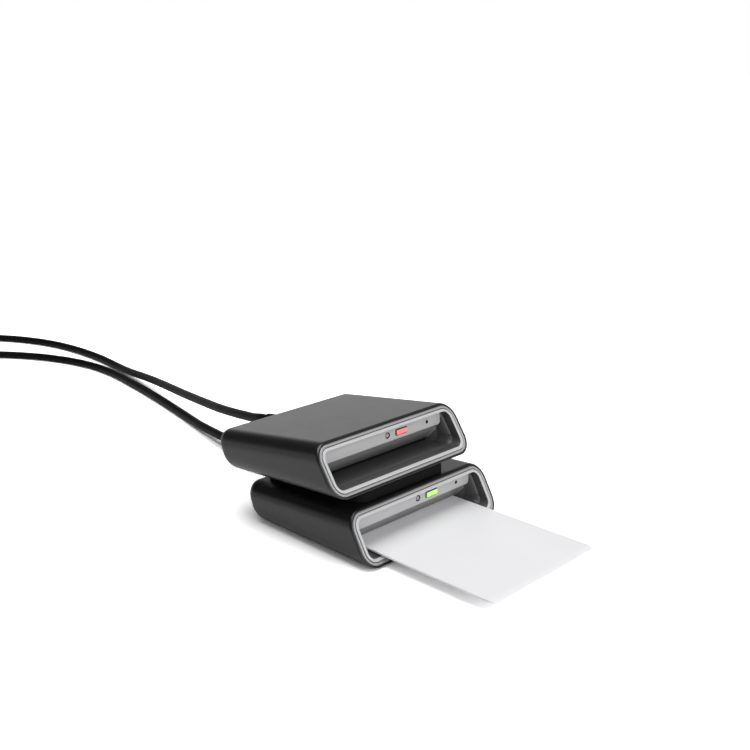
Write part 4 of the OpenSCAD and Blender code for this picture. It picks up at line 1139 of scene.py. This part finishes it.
class READERS_OT_stage(BuildOperator, bpy.types.Operator):
    """Builds the camera, the pale floor, the lamps and the sky."""

    bl_idname = "readers.stage"
    bl_label = "Stage"

    def build(self, settings):
        scene = bpy.context.scene
        self.camera(scene)
        self.floor(scene)
        for name, at, size, watts in LAMPS:
            self.lamp(scene, name, at, size, watts)
        self.sky(scene)
        scene.view_settings.view_transform = "Standard"

    def camera(self, scene):
        data = bpy.data.cameras.new("photo camera")
        data.sensor_width, data.lens = CAMERA_SENSOR, CAMERA_LENS
        data.clip_start, data.clip_end = 0.01, 100.0
        camera = bpy.data.objects.new("photo camera", data)
        camera.location = CAMERA_AT
        camera.rotation_mode = "QUATERNION"
        camera.rotation_quaternion = Vector(CAMERA_WAY).to_track_quat("-Z", "Y")
        scene.collection.objects.link(camera)
        scene.camera = camera

    def floor(self, scene):
        """A pale floor. To the camera it is white and glows from afar, so that only the shadows show."""
        bm = bmesh.new()
        bmesh.ops.create_grid(bm, x_segments=2, y_segments=2, size=20.0)
        mesh = bpy.data.meshes.new("floor")
        bm.to_mesh(mesh)
        bm.free()
        r = Recipe(bpy.data.materials.new("white floor"))
        seen = r.node("ShaderNodeLightPath", out="Is Camera Ray")
        far = r.node("ShaderNodeVectorMath", {"operation": "LENGTH"}, {0: r.place()}, out="Value")
        lift = r.ramp(far / 2, (0.3, 0.03), (0.9, 1.0))
        plain = r.node("ShaderNodeBsdfDiffuse", None, {"Color": grey(FLOOR_LIT)})
        white = r.node("ShaderNodeBsdfDiffuse", None, {"Color": grey(FLOOR_SEEN)})
        glow = r.node("ShaderNodeEmission", None, {"Color": lift, "Strength": 1.0})
        both = r.node("ShaderNodeAddShader", None, {0: white, 1: glow})
        r.node_output(r.node("ShaderNodeMixShader", None, {0: seen, 1: plain, 2: both}))
        mesh.materials.append(r.owner)
        floor = bpy.data.objects.new("floor", mesh)
        scene.collection.objects.link(floor)
        floor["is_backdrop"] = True

    def lamp(self, scene, name, at, size, watts):
        data = bpy.data.lights.new(name, "AREA")
        data.shape, data.size, data.energy = "DISK", size, watts
        lamp = bpy.data.objects.new(name, data)
        lamp.location = at
        lamp.rotation_mode = "QUATERNION"
        lamp.rotation_quaternion = (-Vector(at)).to_track_quat("-Z", "Y")
        scene.collection.objects.link(lamp)

    def sky(self, scene):
        """White walls, grey on the left, under a dim ceiling, and a black panel high at the back."""
        world = bpy.data.worlds.new("studio walls")
        scene.world = world
        r = Recipe(world)
        way = r.node("ShaderNodeTexCoord", out="Generated")
        up = r.node("ShaderNodeSeparateXYZ", None, {0: way}, out="Z")
        left, flag = (r.node("ShaderNodeVectorMath", {"operation": "DOT_PRODUCT"}, {0: way, 1: axis},
                             out="Value") for axis in (LEFT_WALL, BLACK_PANEL))
        room = r.ramp(left, (0.15, 0.92), (0.65, 0.25))
        for shade in (r.ramp(up, (0.2, 1.0), (0.4, 0.2)), r.ramp(flag, (0.78, 1.0), (0.9, 0.04))):
            room = r.node("ShaderNodeMix", {"data_type": "RGBA", "blend_type": "MULTIPLY"},
                          {0: 1.0, 6: room, 7: shade}, out=2)
        seen = r.node("ShaderNodeLightPath", out="Is Camera Ray")
        shown = r.blend(seen, room, grey(1.0))
        back = r.node("ShaderNodeBackground", None, {"Color": shown, "Strength": 1.0})
        out = r.tree.nodes.new("ShaderNodeOutputWorld")
        r.tree.links.new(back.socket, out.inputs["Surface"])


class READERS_PT_panel(bpy.types.Panel):
    """Lists the operators and the settings."""

    bl_idname = "READERS_PT_panel"
    bl_label = "Card readers"
    bl_space_type = "VIEW_3D"
    bl_region_type = "UI"
    bl_category = "Card readers"

    def draw(self, context):
        for operator in OPERATORS:
            self.layout.operator(operator.bl_idname)
        settings = context.scene.card_readers
        for group in ("cover", "mouth", "lights", "card", "stack", "cord", "finish"):
            box = self.layout.box()
            box.label(text=group.capitalize())
            for key in getattr(settings, group).__annotations__:
                box.prop(getattr(settings, group), key)


GROUPS = (CoverSizes, MouthSizes, LightSizes, CardSizes, StackSizes, CordSizes, Finishes, ReaderSettings)
OPERATORS = (READERS_OT_stage, READERS_OT_cords, READERS_OT_covers, READERS_OT_mouths, READERS_OT_fascias,
             READERS_OT_underside, READERS_OT_card, READERS_OT_frame_finishes)


def register():
    for cls in (*GROUPS, *OPERATORS, READERS_PT_panel):
        bpy.utils.register_class(cls)
    bpy.types.Scene.card_readers = PointerProperty(type=ReaderSettings)


def unregister():
    del bpy.types.Scene.card_readers
    for cls in reversed((*GROUPS, *OPERATORS, READERS_PT_panel)):
        bpy.utils.unregister_class(cls)


def main():
    register()
    FINISHES.update(make_finishes(bpy.context.scene.card_readers.finish))
    for operator in OPERATORS:
        group, name = operator.bl_idname.split(".")
        getattr(getattr(bpy.ops, group), name)()
    boxes = {"cad": CAD_BOX, "visual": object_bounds()}
    {key: [list(corner) for corner in box] for key, box in boxes.items()}


if __name__ == "__main__":
    main()
